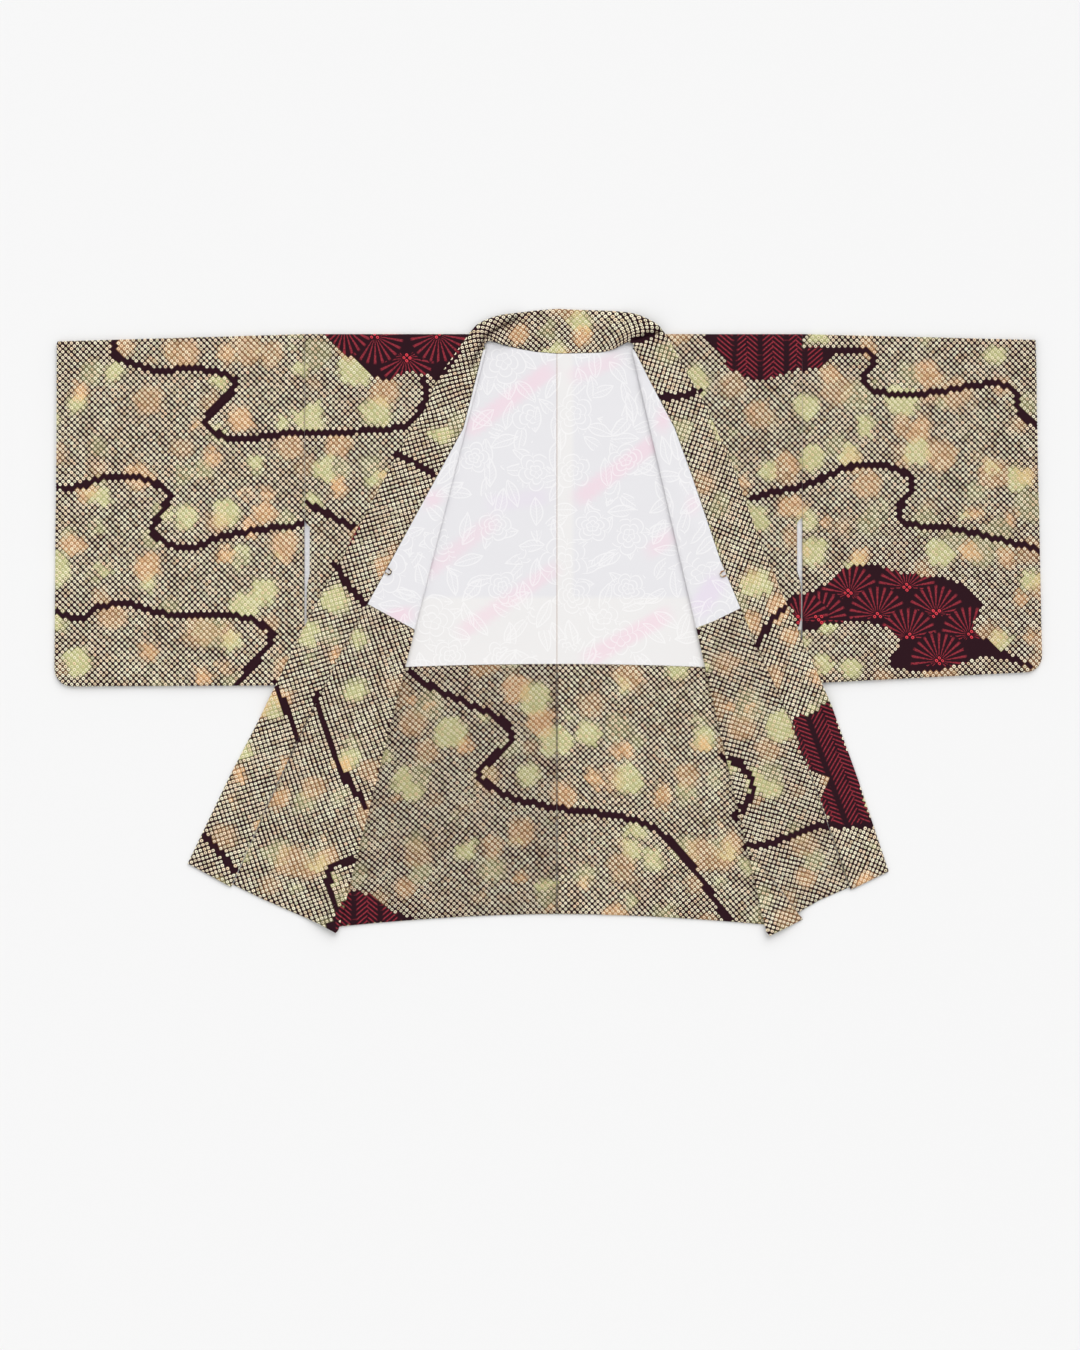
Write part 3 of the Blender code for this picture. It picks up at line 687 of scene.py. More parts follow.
def spread(value, low, high, toLow=0.0, toHigh=1.0):
    given = zip(("Value", "From Min", "From Max", "To Min", "To Max"), (value, low, high, toLow, toHigh))
    return lay(value.nodes, "MapRange", given, "Result", interpolation_type="SMOOTHSTEP")


def falling(value, low, high):
    return spread(value, low, high, 1.0, 0.0)


def mixed(share, first, second, kind="RGBA"):
    given = zip(("Factor", "A", "B"), (share, first, second))
    return lay(share.nodes, "Mix", given, "Result", data_type=kind)


def pack(x, y, z=0.0):
    return lay(x.nodes, "CombineXYZ", enumerate((x, y, z)))


def unpack(vector):
    return list(outputsOf(lay(vector.nodes, "SeparateXYZ", [(0, vector)])).values())


def noiseAt(vector, scale, detail=2.0, output="Fac"):
    return lay(vector.nodes, "TexNoise", [("Vector", vector), ("Scale", scale), ("Detail", detail)], output)


def cellsAt(vector, scale, randomness=1.0):
    given = zip(("Vector", "Scale", "Randomness"), (vector, scale, randomness))
    return outputsOf(lay(vector.nodes, "TexVoronoi", given))


def shift(vector, offset):
    return lay(vector.nodes, "VectorMath", enumerate((vector, offset)), operation="ADD")


def bent(vector, scale, reach):
    # a place pushed about by soft noise
    push = noiseAt(vector, scale, output="Color")
    given = enumerate((push, (reach, reach, 0.0), vector))
    return lay(vector.nodes, "VectorMath", given, operation="MULTIPLY_ADD")


def startGroup(name, inputs, outputs):
    group = bpy.data.node_groups.new(name, "ShaderNodeTree")
    for inOut, sockets in (("INPUT", inputs), ("OUTPUT", outputs)):
        for kind, labels in sockets.items():
            for label in labels:
                group.interface.new_socket(label, in_out=inOut, socket_type="NodeSocket" + kind)
    given = {socket.name: Signal(socket) for socket in group.nodes.new("NodeGroupInput").outputs}
    return group, given, group.nodes.new("NodeGroupOutput").inputs


def placeGroup(nodes, group, **values):
    return outputsOf(lay(nodes, "Group", values.items(), node_tree=group))


def attribute(nodes, name):
    return lay(nodes, "Attribute", (), "Vector", attribute_name=name)


def startMaterial(name, finish):
    material = bpy.data.materials.new(name)
    material.use_nodes = True
    nodes = material.node_tree.nodes
    shader = nodes["Principled BSDF"]
    for socket, value in finish.items():
        shader.inputs[socket].default_value = value
    return material, nodes, shader.inputs


def bumped(height, strength, distance):
    given = zip(("Strength", "Distance", "Height"), (strength, distance, height))
    return lay(height.nodes, "Bump", given, "Normal")


# Warp and weft of a fine crepe, shared by both silks
def crepeThreads():
    inputs = {"Vector": ["Grain"], "Float": ["Count"]}
    group, given, out = startGroup("crepe threads", inputs, {"Float": ["Height"]})
    warp, weft = ((way * given["Count"]).apply("SINE") for way in unpack(given["Grain"])[:2])
    feed(out["Height"], warp * weft + noiseAt(given["Grain"], 900.0, 3.0))
    return group


# The dyes of each silk, and the numbers of its pattern
kanoko = {
    "colours": {
        "Ground": (38, 14, 21), "Thread": (255, 250, 221), "Faded": (240, 210, 182), "Lime": (209, 208, 148),
        "Peach": (238, 180, 126), "Stroke": (150, 47, 59), "Berry": (226, 66, 78), "Bare": (40, 13, 23),
    },
    "slantGap": (0.090, 0.180), "crossGap": (0.065, 0.135), "jitter": 0.10, "half": 0.52, "corner": 2.3,
    # the pleat number is the strength of the painted shade in the neck pleats
    "eye": 0.40, "faded": 0.4, "dyed": 0.46, "pleatShade": 0.65,
    "blotchScale": 19.0, "blotch": (0.25, 0.37), "strength": (0.20, 0.69), "ragged": 0.10,
    "bendScale": 42.0, "bend": 0.022,
}
rinzu = {
    "colours": {
        "Ground": (221, 220, 223), "Figure": (242, 241, 241), "Pink": (233, 203, 215),
        # Thread here is the tan of the painted shadow along the centre back seam
        "Lilac": (221, 206, 226), "Doubled": (229, 227, 225), "Thread": (205, 175, 150),
    },
    "line": 0.0011, "flowerScale": 12.0, "flower": 0.019, "petals": 5, "spin": 6.3,
    "leafScale": 22.0, "leafLong": 0.019, "leafWide": 0.0072, "barb": 0.0042,
    "bendScale": 24.0, "bend": 0.012,
}
for look in (kanoko, rinzu):
    look["colours"] = {name: linearColour(*tones) for name, tones in look["colours"].items()}
colourAndHeight = {"Color": ["Color"], "Float": ["Height"]}


def tieDyedDots(look):
    inputs = {"Vector": ["Grain", "Weave", "Shade"], "Float": ["Pitch"], "Color": look["colours"]}
    group, given, out = startGroup("tie dyed dots", inputs, colourAndHeight)
    u, v, _ = unpack(given["Grain"])
    slant = diagonal / given["Pitch"]
    a, b = (u + v) * slant, (u - v) * slant
    row, column = a.apply("FLOOR"), b.apply("FLOOR")
    chances = unpack(lay(group.nodes, "TexWhiteNoise", [("Vector", pack(row, column))], "Color"))

    # each dot sits a little off its place and is a soft square; the gaps widen along one slant or the other
    streak = noiseAt(pack(row * 0.55, b * 0.10), 1.0)
    cross = noiseAt(pack(a * 0.10, column * 0.45, 7.0), 1.0)
    ways = (
        (a, row, spread(streak, 0.34, 0.66, *look["slantGap"]), chances[0]),
        (b, column, spread(cross, 0.34, 0.66, *look["crossGap"]), chances[1]),
    )
    distances = []
    for position, cell, gap, chance in ways:
        offset = position - cell - ((chance - 0.5) * look["jitter"] + 0.5)
        half = chances[2] * -0.05 + look["half"] - gap
        distances.append((abs(offset) / half) ** look["corner"])
    away = (distances[0] + distances[1]) ** (1 / look["corner"])
    eye = chances[2] * 0.14 + (look["eye"] - 0.07)
    ring = spread(away, eye - 0.12, eye + 0.08) * falling(away, 0.86, 1.04)

    # blots of two more dyes, laid over whole dots
    place = bent(pack(row * given["Pitch"], column * given["Pitch"]), look["bendScale"], look["bend"])
    ragged = (chances[1] - 0.5) * look["ragged"]
    blots = []
    for offset in ((0.0, 0.0, 0.0), (0.021, 0.033, 0.7)):
        cells = cellsAt(shift(place, offset), look["blotchScale"])
        tone = unpack(cells["Color"])
        reach = cells["Distance"] - (tone[1] * 0.16 - 0.07) + ragged
        strength = spread(tone[2], 0.05, 0.8, *look["strength"])
        blots.append(falling(reach, *look["blotch"]) * strength)
    lime, peach = blots
    ground = mixed(peach, mixed(lime, given["Ground"], given["Lime"]), given["Peach"])
    mottle = spread(noiseAt(given["Grain"], 26.0), 0.42, 0.66, 0.0, 0.30)
    thread = mixed(chances[0] ** 2.0 * look["faded"] + mottle, given["Thread"], given["Faded"])
    thread = mixed(lime * look["dyed"] + chances[2] ** 4.0 * 0.35, thread, given["Lime"])
    thread = mixed(peach * look["dyed"] + chances[1] ** 3.0 * 0.40, thread, given["Peach"])
    inEye = spread(away, 0.05, look["eye"], 0.85, 0.0)
    dots = mixed(ring, mixed(inEye, ground, given["Ground"]), thread)

    # some pieces drawn darker, and painted shade along the seams and in the pleats of the neck
    pieceDark, seam, pleatShade = unpack(given["Shade"])
    dots = mixed(largest(pleatShade * look["pleatShade"], seam ** 3.0, pieceDark), dots, given["Ground"])

    # islands and streams: painted strokes, red berries, bare ground
    turn, along, kind = unpack(given["Weave"])
    across = abs(turn.apply("FRACT") - 0.5)
    beads = spread(noiseAt(given["Grain"], 520.0), 0.30, 0.60, 0.35, 1.0)
    stroke = falling(across, 0.10, 0.24) * beads
    stroke = stroke * (spread(along, 0.10, 0.22) * falling(along, 0.90, 1.0))
    strokes = mixed(stroke, given["Bare"], given["Stroke"])
    berries = mixed(ring, given["Bare"], given["Berry"])
    colour = dots
    for name, painted in (("bare", given["Bare"]), ("strokes", strokes), ("berries", berries)):
        colour = mixed(kind.apply("COMPARE", kinds[name], 0.4), colour, painted)
    feed(out["Color"], colour)

    tied = falling(away, 0.35, 1.1) - spread(away, 0.0, look["eye"], 0.55, 0.0)
    flat = kind.apply("GREATER_THAN", 0.5) * kind.apply("LESS_THAN", 2.5)
    feed(out["Height"], mixed(flat, tied, stroke * 0.5, "FLOAT"))
    return group


def leafFigure(look):
    inputs = {"Vector": ["Grain", "Tint"], "Color": look["colours"]}
    group, given, out = startGroup("leaf figure", inputs, colourAndHeight)
    swayed = bent(given["Grain"], look["bendScale"], look["bend"])

    def around(offset, scale):
        # where a point lies about the middle of its own motif, and three chances for that motif
        place = shift(swayed, offset)
        cells = cellsAt(place, scale, 0.85)
        luck = unpack(cells["Color"])
        x, y = (here - middle for here, middle in zip(unpack(place)[:2], unpack(cells["Position"])))
        return (x * x + y * y).apply("SQRT"), y.apply("ARCTAN2", x) + luck[0] * look["spin"], luck

    def edge(value, width):
        return falling(abs(value), width * 0.5, width)

    away, turn, luck = around((0.0, 0.0, 0.0), look["flowerScale"])
    size = luck[1] * 0.016 + look["flower"]
    lobes = abs((turn * (look["petals"] / 2)).apply("SINE"))
    rims = [size * (lobes ** 0.6 * (0.34 * share) + 0.66 * share) for share in (1.0, 0.66, 0.36)]
    inFlower = away.apply("LESS_THAN", size)
    partings = edge(lobes * away, look["line"]) * inFlower
    flower = largest(*[edge(away - rim, look["line"]) for rim in rims], partings)

    leafLines = []
    for offset in ((0.05, 0.02, 0.0), (0.11, 0.07, 0.0)):
        away, turn, _ = around(offset, look["leafScale"])
        along, across = away * turn.apply("COSINE"), abs(away * turn.apply("SINE"))
        share = along / look["leafLong"]
        lens = share * share * -look["leafWide"] + look["leafWide"]
        inside = across.apply("LESS_THAN", lens)
        barbs = abs(((across * 0.9 + along) / look["barb"]).apply("FRACT") - 0.5)
        leafLines.append(edge(across - lens, look["line"]))
        leafLines.append(edge(across, look["line"] * 0.8) * inside)
        leafLines.append(spread(barbs, 0.05, 0.14, 0.6, 0.0) * inside)
    figure = largest(flower, largest(*leafLines) * (1.0 - inFlower))

    pink, doubled, lilac = unpack(given["Tint"])
    # a thin tan line down the centre back seam: painted seam shadow
    seam = spread(abs(unpack(given["Grain"])[0]), 0.0002, 0.0012, 0.4, 0.0)
    colour = given["Ground"]
    for name, share in (("Doubled", doubled * 0.75), ("Pink", pink), ("Lilac", lilac),
                        ("Figure", figure * 0.47), ("Thread", seam)):
        colour = mixed(share, colour, given[name])
    feed(out["Color"], colour)
    feed(out["Height"], figure)
    return group


crepe = crepeThreads()
kanokoSilk, nodes, shader = startMaterial("kanokoSilk", {"Roughness": 0.85, "Specular IOR Level": 0.14})
grain = attribute(nodes, "grain")
dots = placeGroup(nodes, tieDyedDots(kanoko), Grain=grain, Weave=attribute(nodes, "weave"),
                  Shade=attribute(nodes, "shade"), Pitch=weave["pitch"], **kanoko["colours"])
threads = placeGroup(nodes, crepe, Grain=grain, Count=6200.0)
feed(shader["Base Color"], dots["Color"])
feed(shader["Normal"], bumped(threads["Height"] * 0.06 + dots["Height"], strength=0.7, distance=0.0008))

liningSilk, nodes, shader = startMaterial("liningSilk", {"Roughness": 0.60, "Specular IOR Level": 0.22,
                                                        "Sheen Weight": 0.15, "Sheen Roughness": 0.35})
grain = attribute(nodes, "grain")
leaf = placeGroup(nodes, leafFigure(rinzu), Grain=grain, Tint=attribute(nodes, "tint"), **rinzu["colours"])
threads = placeGroup(nodes, crepe, Grain=grain, Count=9000.0)
feed(shader["Base Color"], leaf["Color"])
feed(shader["Normal"], bumped(threads["Height"] * 0.10 + leaf["Height"], strength=0.35, distance=0.0002))

sewingThread, nodes, shader = startMaterial("sewingThread", {"Roughness": 0.6, "Specular IOR Level": 0.3})
strands = placeGroup(nodes, crepe, Grain=lay(nodes, "TexCoord", (), "Object"), Count=14000.0)["Height"]
cream, shadow = linearColour(240, 236, 226), linearColour(205, 196, 182)
feed(shader["Base Color"], mixed(spread(strands, 0.0, 1.2), shadow, cream))
feed(shader["Normal"], bumped(strands, strength=0.3, distance=0.0001))
print("silks dyed")

# Stripes and patches of the lining: ends in millimetres, half width, strength
liningStripes = {
    "back": {
        "pink": ((-118, 130, -4, 46, 10, 0.60), (16, 60, 82, 34, 9, 0.45), (-172, 316, -80, 244, 9, 0.45),
                 (24, 220, 132, 140, 10, 0.60), (-126, 392, 0, 306, 9, 0.50),
                 (118, 288, 152, 262, 9, 0.50), (36, 428, 146, 366, 10, 0.60)),
        "lilac": ((-90, 224, -10, 214, 10, 0.30),),
    },
    "front": {
        "pink": ((-172, 224, -150, 212, 9, 0.6), (-222, 372, -186, 366, 9, 0.7),
                 (134, 130, 142, 98, 8, 0.6), (174, 236, 178, 214, 7, 0.5)),
        "lilac": ((180, 366, 212, 318, 13, 0.55),),
    },
}
doubledLining = {"top": 343, "band": 18}
stripeFade = {"end": (12, 28), "side": (6, 11)}  # how far past its edge a stripe starts, over what length


def stripeAt(stripe, x, y):
    along, across, length = besideLine(stripe, x, y)
    half, strength = stripe[4:]
    room, fade = stripeFade["end"]
    ends = smooth((along + room) / fade) * smooth((length + room - along) / fade)
    room, fade = stripeFade["side"]
    return strength * ends * smooth((half + room - abs(across)) / fade)


def liningTint(node, x, y):
    place = "back" if "back" in node else "front"
    pink, lilac = (max(stripeAt(stripe, x, y) for stripe in liningStripes[place][name])
                   for name in ("pink", "lilac"))
    doubled = 0.0
    if place == "back":
        doubled = max(smooth((y - doubledLining["top"]) / 4), float(0 < x < doubledLining["band"]))
    return pink, doubled, lilac


# Outlines of the flat cut
def edgeRows(table, low, high):
    inside = [(down, out) for down, out in table if low < down < high]
    return [(low, readTable(table, low)), *inside, (high, readTable(table, high))]


def turnedOutline(inner, outer, hem, top, facingTop):
    # a strip that runs down between two edges, round the hem and back up inside, as its two edges
    def run(table, nudge):
        last = hem(table[-1][1]) - turnRoom
        return [(out + nudge, down) for down, out in edgeRows(table, top(table[0][1]), last)]

    def facing(table, nudge):
        last = hem(table[-1][1]) - turnRoom
        rows = edgeRows(table, facingTop(table[-1][1]), last)
        return [(out + nudge, facingV(down, hem(out))) for down, out in rows]

    outerHalf = run(outer, -halfGap) + facing(outer, -halfGap)[::-1]
    return outerHalf, facing(inner, halfGap) + run(inner, halfGap)[::-1]


def evenly(length, count):
    return [length * k / count for k in range(count + 1)]


def scoresAt(measure, offsets):
    # score lines where measure(u, v) comes to each of the offsets
    return [lambda u, v, offset=offset: measure(u, v) - offset for offset in offsets]


def hemScores(hem):
    return scoresAt(lambda u, v: v - (hem(u) - turnRoom), evenly(turnArc, 2))


def creaseScores(side, hem=None):
    def past(u, v):
        return pastCrease(side, u, hemTurn(v, hem(u), 0.0)[0] if hem else v)

    return scoresAt(past, evenly(turnArc, 3))


def settled(point):
    # what lies on top takes up the soft creases
    rise = creaseHeight(*planOf(point))
    return Vector((point.x, point.y, max(point.z + rise, min(point.z, level["back"]))))


def sewBack(name, side):
    def hem(u):
        return backHem(side, u)

    def place(flat, height):
        down, depth = hemTurn(flat.y, hem(flat.x), height)
        point = stand(side, flat.x, down, level["back"] + floorGap - depth)
        return settled(point) if depth < -layer / 2 else point

    neck = [(out, backTop(side, out)) for out in (halfGap, *(row[0] for row in side["neckEdge"][1:]))]
    neck.append((side["neckEdge"][-1][0] + backShape["neckLap"], backTop(side, side["armhole"])))
    footOut = side["backEdge"][-1][1]
    steps = [footOut * k / backShape["steps"] for k in range(backShape["steps"], -1, -1)]
    outer, inner = turnedOutline([(0.0, 0.0), (1.0, 0.0)], side["backEdge"], hem,
                                 lambda out: backTop(side, out), lambda out: backFacingTop(side, out))
    facingTop = [(u, facingV(backFacingTop(side, u), hem(u))) for u in steps[1:-1]]
    outline = neck[1:] + outer + facingTop + inner
    sew(f"back_{name}", outline, place, hemScores(hem), "laid", ["floor"], mirror=side["sign"])

    def placeLining(flat, height):
        return settled(stand(side, flat.x, flat.y, level["back"] + wall["underCloth"] + floorGap))

    edge = [(down, out - halfGap) for down, out in side["backEdge"]]
    foot = backFacingTop(side, edge[-1][1]) - wall["seam"]
    outline = neck + [(out, down) for down, out in edgeRows(edge, backTop(side, side["armhole"]), foot)]
    outline += [(max(u, halfGap), backFacingTop(side, u) - wall["seam"]) for u in steps]
    sew(f"back_lining_{name}", outline, placeLining, [], "laid", [f"back_{name}_silk"], lined=True)


def sewFront(name, side):
    def hem(u):
        return readTable(side["frontHem"], u)

    def place(flat, height):
        past = tops["front"] - flat.y
        if past > 0:
            angle = past / tube["radius"]
            radius = tube["radius"] + height
            z = level["back"] + tube["radius"] + radius * math.cos(angle)
            return stand(side, flat.x, tops["front"] - radius * math.sin(angle), z)
        down, rise = hemTurn(flat.y, hem(flat.x), height)
        return settled(turnBack(side, flat.x, down, rise))

    outer, inner = turnedOutline(side["frontSeam"], side["frontSide"], hem,
                                 lambda out: tops["front"] - rollLength, lambda out: tops["facingFront"])
    scores = hemScores(hem) + creaseScores(side, hem)
    scores += scoresAt(lambda u, v: tops["front"] - v, evenly(rollLength, 4)[:-1])
    sew(f"front_{name}", outer + inner, place, scores, "folded", [f"back_{name}_silk"],
        mirror=-side["sign"])

    def placeLining(flat, height):
        return settled(turnBack(side, flat.x, flat.y, -wall["underCloth"]))

    first, last = tops["front"] + wall["seam"], tops["facingFront"] - wall["seam"]
    outer = [(out - halfGap, down) for down, out in edgeRows(side["frontSide"], first, last)]
    inner = [(out + halfGap, down) for down, out in edgeRows(side["frontSeam"], first, last)]
    sew(f"front_lining_{name}", outer + inner[::-1], placeLining, creaseScores(side), "folded",
        [f"front_{name}_silk"], lined=True)


def sewGusset(name, side):
    hemDown, frontFoot = side["frontSide"][-1]

    def hem(u):
        return hemDown

    def place(flat, height):
        down, rise = hemTurn(flat.y, hem(flat.x), height)
        return settled(turnBack(side, flat.x, down, rise))

    front = edgeRows(side["frontSide"], tops["gusset"], hemDown)
    outer, inner = turnedOutline(front, side["backEdge"], hem,
                                 lambda out: tops["gusset"], lambda out: tops["gusset"])
    sew(f"gusset_{name}", outer + inner, place, hemScores(hem) + creaseScores(side, hem), "folded",
        [f"back_{name}_silk"], width=readTable(side["backEdge"], hemDown) - frontFoot, mirror=-side["sign"])


def sleeveEdge(side, inset, setback):
    # the closed edges of a sleeve: top fold, then lower wrist, corner and bottom
    wrist = side["wrist"]
    inner = side["armhole"] + halfGap

    def wristOut(down):
        return blend(wrist["topOut"], wrist["bottomOut"], down / wrist["bottomDown"]) - inset

    bend = wrist["corner"] - inset
    cornerOut, cornerDown = wrist["bottomOut"] - wrist["corner"], wrist["bottomDown"] - wrist["corner"]
    top = [(inner, shoulder + inset), (wrist["topOut"] - inset - setback, wrist["topDown"] + inset)]
    opening = sleeveCut["opening"] + setback
    lower = [(wristOut(opening), opening)]
    for step in range(sleeveCut["cornerSteps"] + 1):
        angle = math.pi / 2 * step / sleeveCut["cornerSteps"]
        lower.append((cornerOut + bend * math.cos(angle), cornerDown + bend * math.sin(angle)))
    lower.append((inner, side["sleeveBottom"] - inset))
    return top, lower


def sewSleeve(name, side):
    def halfTube(inset, setback, radius):
        top, lower = sleeveEdge(side, inset, setback)
        segments = list(zip(top, top[1:])) + list(zip(lower, lower[1:]))

        def toEdge(u, v):
            best = 1.0
            for (ax, ay), (bx, by) in segments:
                share = ((u - ax) * (bx - ax) + (v - ay) * (by - ay)) / ((bx - ax) ** 2 + (by - ay) ** 2)
                share = min(max(share, 0.0), 1.0)
                best = min(best, math.hypot(u - blend(ax, bx, share), v - blend(ay, by, share)))
            return best

        def place(flat, height):
            past = max(radius - toEdge(flat.x, flat.y), 0.0)
            half = math.sqrt(max(radius ** 2 - past ** 2, 0.0))
            rise = (half + height * half / radius) * (-1 if flat.z > 0.5 else 1)
            point = stand(side, flat.x, flat.y, level["back"] + tube["radius"] + floorGap + rise)
            if flat.z > 0.5:
                return point
            return point + Vector((0, 0, creaseHeight(*planOf(point)) * half / radius))

        return top + lower, place, scoresAt(toEdge, [radius * share for share in sleeveCut["scores"]])

    inset, radius = wall["cloth"] / 2, tube["radius"]
    sew(f"sleeve_{name}", *halfTube(inset, 0.0, radius), "laid", ["floor"], tube=True, mirror=-side["sign"])
    inset, radius = inset + wall["underCloth"], radius - wall["underCloth"]
    sew(f"sleeve_lining_{name}", *halfTube(inset, sleeveCut["setback"], radius), "laid",
        [f"sleeve_{name}_silk"], lined=True, tube=True)


# the collar hangs past the hem of the fronts by foot; more rows from down at every step
collar = {"foot": 0.004, "down": 0.420, "step": 0.030, "count": 9, "foldWidth": 0.0009}


def collarRows():
    # seam and fold edge of the collar from the left hem round the neck to the right hem
    rows = []
    for side in (sides["left"], sides["right"]):
        neck = throughPoints(side["neckRows"], steps=4)
        half = [(seamOut, seamDown, foldOut, foldDown, min(max(rise, 0.0), 1.0))
                for seamOut, seamDown, foldOut, foldDown, rise in neck]
        run, fall = creaseDirection(side)
        downs = {row[0] for row in side["frontSeam"][1:-1] + side["collarWidth"][:-1]}
        downs |= {collar["down"] + collar["step"] * k for k in range(collar["count"])}
        downs.add(side["frontSeam"][-1][0] - wall["seam"])
        for down in sorted(downs):
            seam = turnBack(side, readTable(side["frontSeam"], down) - halfGap, down, 0.0)
            out, newDown = side["sign"] * (seam.x - seat["x"]), seat["y"] - seam.y
            width = readTable(side["collarWidth"], down)
            foldOut, foldDown = out + (1 - 2 * run * run) * width, newDown - 2 * run * fall * width
            half.append((out, newDown, foldOut, foldDown, 1.0))
        half = [(side["sign"] * a, b, side["sign"] * c, d, rise) for a, b, c, d, rise in half]
        rows = half[::-1] if side["sign"] < 0 else rows + half[1:]
    return rows


def sewCollar():
    rows = collarRows()
    along = [0.0]
    for first, second in zip(rows, rows[1:]):
        step = [(b - a + d - c) / 2 for a, b, c, d in zip(first[:2], second[:2], first[2:4], second[2:4])]
        along.append(along[-1] + math.hypot(*step))

    def rowAt(s):
        k = min(max(bisect.bisect_right(along, s) - 1, 0), len(rows) - 2)
        t = (s - along[k]) / (along[k + 1] - along[k])
        return [blend(a, b, t) for a, b in zip(rows[k], rows[k + 1])]

    def reach(row):
        return math.hypot(row[2] - row[0], row[3] - row[1]) - turnRoom + turnArc / 2 - halfGap

    def place(flat, height):
        seamX, seamDown, foldX, foldDown, rise = rowAt(flat.x)
        width = math.hypot(foldX - seamX, foldDown - seamDown)
        bend = width - turnRoom
        radius = wall["turn"] + height
        if flat.y < -turnArc / 2:
            across, z = bend + turnArc / 2 + flat.y, layer + height
        elif flat.y > turnArc / 2:
            across, z = bend + turnArc / 2 - flat.y, -height
        else:
            angle = math.pi * (flat.y / turnArc + 0.5)
            across, z = bend + radius * math.sin(angle), wall["turn"] + radius * math.cos(angle)
        x = seamX + (foldX - seamX) * across / width
        down = seamDown + (foldDown - seamDown) * across / width
        side = sides["left" if x < 0 else "right"]
        sunk = max(1 - rise, drape(side, abs(x), down))
        point = Vector((seat["x"] + x, seat["y"] - down, level["turned"] + z - dropToFloor * sunk))
        return settled(point)

    ends = [along[0] - collar["foot"], *along[1:-1], along[-1] + collar["foot"]]
    outline = [(s, -reach(row)) for s, row in zip(ends, rows)]
    outline += [(s, reach(row)) for s, row in zip(ends, rows)][::-1]
    plans = {}

    def besideFold(fold):
        def across(u, v):
            if (u, v) not in plans:
                plans[u, v] = planOf(place(Vector((u, v, 0)), 0.0))
            return besideLine(fold, *plans[u, v])[1] / 1000

        return across

    scores = scoresAt(lambda u, v: v, [turnArc * k / 6 for k in (-3, -1, 1, 3)])
    for fold in neckFolds:
        scores += scoresAt(besideFold(fold), [collar["foldWidth"] * fold[4] * way for way in (-1, 0, 1)])
    sew("collar", outline, place, scores, "folded", ["front_left_silk", "front_right_silk"])


def wrapRings(bm, rings):
    # joins a row of rings into a tube with both its ends shut
    for first, second in zip(rings, rings[1:]):
        for j, corner in enumerate(first):
            following = (j + 1) % len(first)
            bm.faces.new((corner, first[following], second[following], second[j]))
    bm.faces.new(rings[0][::-1])
    bm.faces.new(rings[-1])


# Cord loops in the collar seam
loop = {"down": 0.337, "reach": 0.008, "width": 0.009, "cord": 0.0022, "sides": 10, "steps": 28,
        "strands": 3, "swell": 0.10, "twist": 0.9, "clear": 0.0005}


def tieLoop(name, side):
    seam = readTable(side["frontSeam"], loop["down"]) + wall["seam"]
    z = level["turned"] + wall["underCloth"] + loop["clear"] + wall["seam"] + loop["cord"] / 2
    straight = loop["reach"] - loop["width"] / 2
    radius = (loop["width"] - loop["cord"]) / 2
    path = [(wall["seam"], -radius)]
    for k in range(loop["steps"] + 1):
        angle = math.pi * k / loop["steps"]
        path.append((straight + radius * math.sin(angle), -radius * math.cos(angle)))
    path.append((wall["seam"], radius))
    bm = bmesh.new()
    grain = bm.loops.layers.uv.new("grain")
    rings = []
    for k, (away, along) in enumerate(path):
        before, after = path[max(k - 1, 0)], path[min(k + 1, len(path) - 1)]
        heading = math.atan2(after[1] - before[1], after[0] - before[0])
        ring = []
        for j in range(loop["sides"]):
            angle = 2 * math.pi * j / loop["sides"]
            bulge = math.cos(loop["strands"] * angle + k * loop["twist"]) - 1
            strand = loop["cord"] / 2 * (1 + loop["swell"] * bulge)
            sideways = strand * math.cos(angle)
            place = turnBack(side, seam + away - math.sin(heading) * sideways,
                             loop["down"] + along + math.cos(heading) * sideways, 0.0)
            ring.append(bm.verts.new((place.x, place.y, z + strand * math.sin(angle))))
        rings.append(ring)
    wrapRings(bm, rings)
    bmesh.ops.recalc_face_normals(bm, faces=bm.faces)
    for face in bm.faces:
        for corner in face.loops:
            corner[grain].uv = corner.vert.co.x, corner.vert.co.y
    piece = hang(f"cord_loop_{name}_tie", bm, kanokoSilk)
    piece.data.shade_smooth()
    declare(piece, f"cord_loop_{name}")


# Blind stitches: short cream threads that catch the lining to the silk under it
stitch = {"length": 0.0022, "radius": 0.00028, "sides": 6, "rings": 5, "gap": 0.011, "proud": 0.0004,
          "lean": 0.35, "blunt": 0.04}


def blindStitches(name, line, height):
    # line is a list of places in plan; a stitch lies across it every gap
    bm = bmesh.new()
    up = Vector((0, 0, 1))
    angles = [2 * math.pi * j / stitch["sides"] for j in range(stitch["sides"])]
    left = stitch["gap"]
    for start, end in zip(line, line[1:]):
        heading, length = (end - start).normalized(), (end - start).length
        lean = (Vector((-heading.y, heading.x, 0)) + heading * stitch["lean"]).normalized()
        side = Vector((-lean.y, lean.x, 0))
        while left < length:
            middle = start + heading * left
            middle.z = height + creaseHeight(*planOf(middle)) + stitch["proud"]
            rings = []
            for k in range(stitch["rings"] + 1):
                t = k / stitch["rings"] * 2 - 1
                radius = stitch["radius"] * math.sqrt(max(1 - t ** 4, stitch["blunt"]))
                centre = middle + lean * t * stitch["length"] / 2 - up * stitch["proud"] * t * t
                spokes = [side * math.cos(angle) + up * math.sin(angle) for angle in angles]
                rings.append([bm.verts.new(centre + spoke * radius) for spoke in spokes])
            wrapRings(bm, rings)
            left += stitch["gap"]
        left -= length
    bmesh.ops.recalc_face_normals(bm, faces=bm.faces)
    piece = hang(name, bm, sewingThread)
    piece.data.shade_smooth()
    declare(piece)
    print("stitched", name)


stitchLine = {"inner": 0.004, "steps": 8, "backRise": 0.0006, "frontRise": 0.0008, "fromCrease": 0.010}


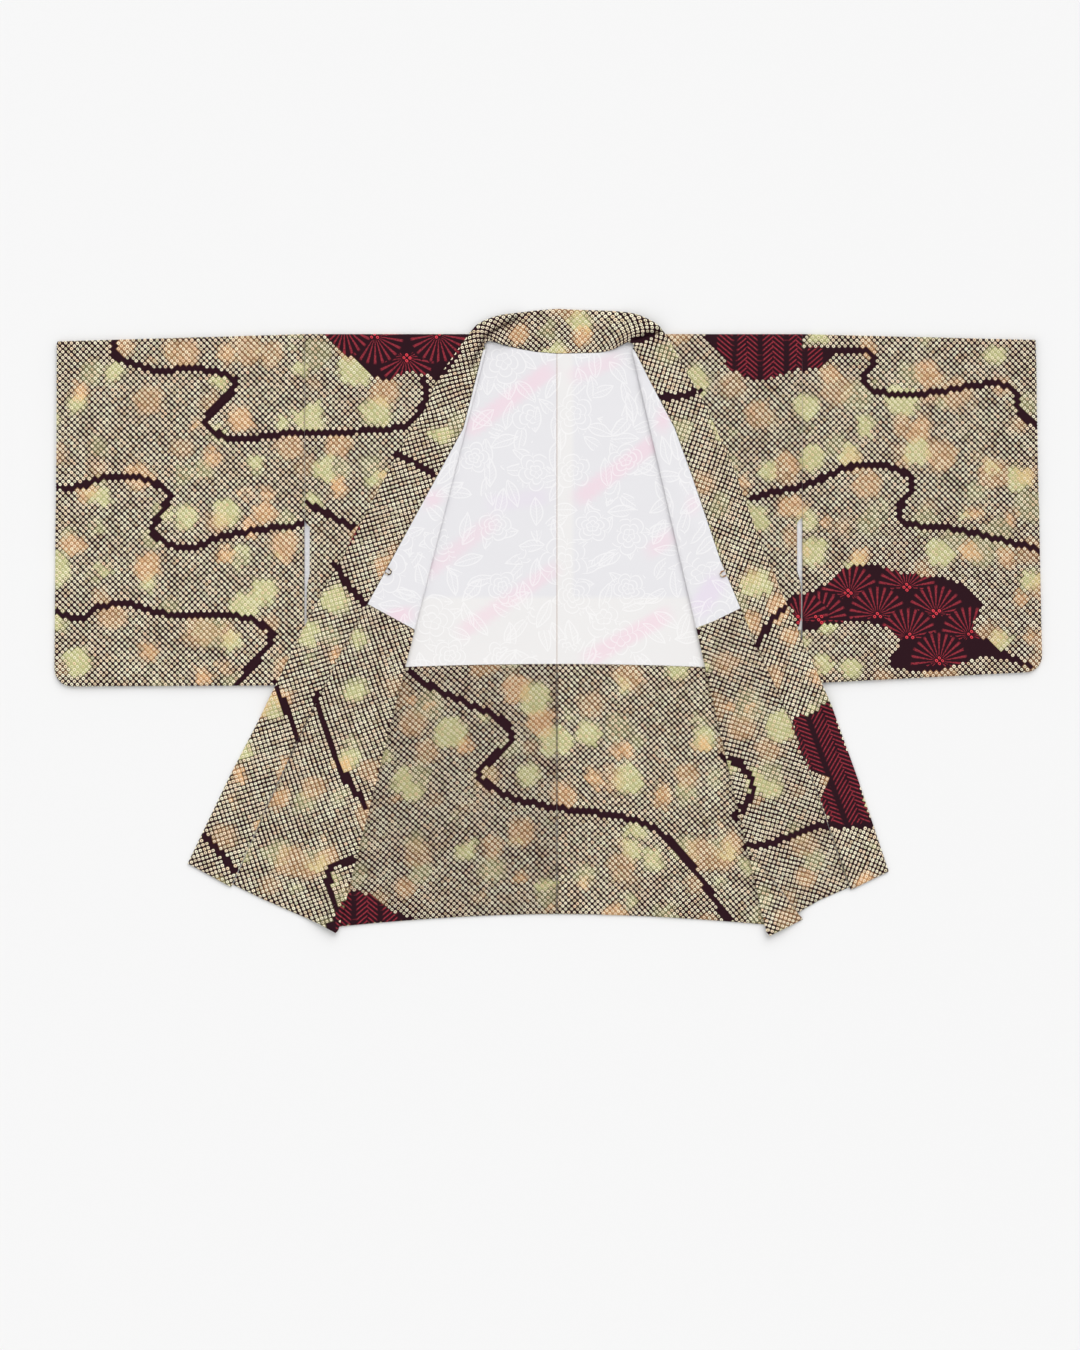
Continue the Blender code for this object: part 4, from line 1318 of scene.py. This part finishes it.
def stitchLinings(name, side):
    foot = side["backEdge"][-1][1]
    hemLine = []
    for out in evenly(foot - stitchLine["inner"], stitchLine["steps"]):
        out += stitchLine["inner"]
        hemLine.append(stand(side, out, backFacingTop(side, out) - stitchLine["backRise"], 0))
    under = wall["underCloth"] + liningWeave["thickness"] / 2
    blindStitches(f"back_stitches_{name}", hemLine, level["back"] + under)
    down = tops["facingFront"] - stitchLine["frontRise"]
    first = creaseOut(side, down) - stitchLine["fromCrease"]
    last = readTable(side["frontSeam"], down) + stitchLine["inner"]
    turned = [turnBack(side, out, down, 0.0) for out in (first, last)]
    for point in turned:
        point.z = 0
    blindStitches(f"front_stitches_{name}", turned, level["turned"] + under)


# Stage: a pale table top under the jacket, soft light from all round
stage = {"floorHalf": 4.0, "pale": 0.825, "shade": 0.815, "shadeScale": 3.0, "world": 0.68}
bpy.ops.object.select_all(action="DESELECT")
bpy.ops.mesh.primitive_plane_add(size=2 * stage["floorHalf"], location=(0, 0, 0))
floor = bpy.context.object
floor.name = "floor"
floorPaint, nodes, shader = startMaterial("floorPaint", {"Roughness": 0.9, "Specular IOR Level": 0.1})
shade = noiseAt(attribute(nodes, "UVMap"), stage["shadeScale"])
pale, grey = ((tone, tone, tone, 1.0) for tone in (stage["pale"], stage["shade"]))
feed(shader["Base Color"], mixed(shade, pale, grey))
floor.data.materials.append(floorPaint)

for name, side in sides.items():
    sewBack(name, side)
    sewFront(name, side)
    sewGusset(name, side)
    sewSleeve(name, side)
sewCollar()
for name, side in sides.items():
    tieLoop(name, side)
    stitchLinings(name, side)

# Camera straight above, and the lamps
view = {"x": -0.0106, "y": -0.0685, "height": 1.755, "lens": 85.0, "sensor": 36.0}
cameraData = bpy.data.cameras.new("camera")
cameraData.lens = view["lens"]
cameraData.sensor_width = view["sensor"]
camera = bpy.data.objects.new("camera", cameraData)
camera.location = (view["x"], view["y"], view["height"] * view["lens"] / view["sensor"])
bpy.context.scene.collection.objects.link(camera)
bpy.context.scene.camera = camera

lamps = (
    {"name": "keyLamp", "lean": (-46, 18), "angle": 50, "strength": 1.80},
    {"name": "fillLamp", "lean": (35, -40), "angle": 60, "strength": 0.40},
)
for lamp in lamps:
    light = bpy.data.lights.new(lamp["name"], "SUN")
    light.energy = lamp["strength"]
    light.angle = math.radians(lamp["angle"])
    holder = bpy.data.objects.new(lamp["name"], light)
    holder.rotation_euler = (*map(math.radians, lamp["lean"]), 0)
    bpy.context.scene.collection.objects.link(holder)
world = bpy.data.worlds.new("studio")
world.use_nodes = True
background = world.node_tree.nodes["Background"].inputs
background["Color"].default_value = (1.0, 1.0, 1.0, 1.0)
background["Strength"].default_value = stage["world"]
bpy.context.scene.world = world
bpy.context.scene.view_settings.view_transform = "Standard"
print("stage lit")
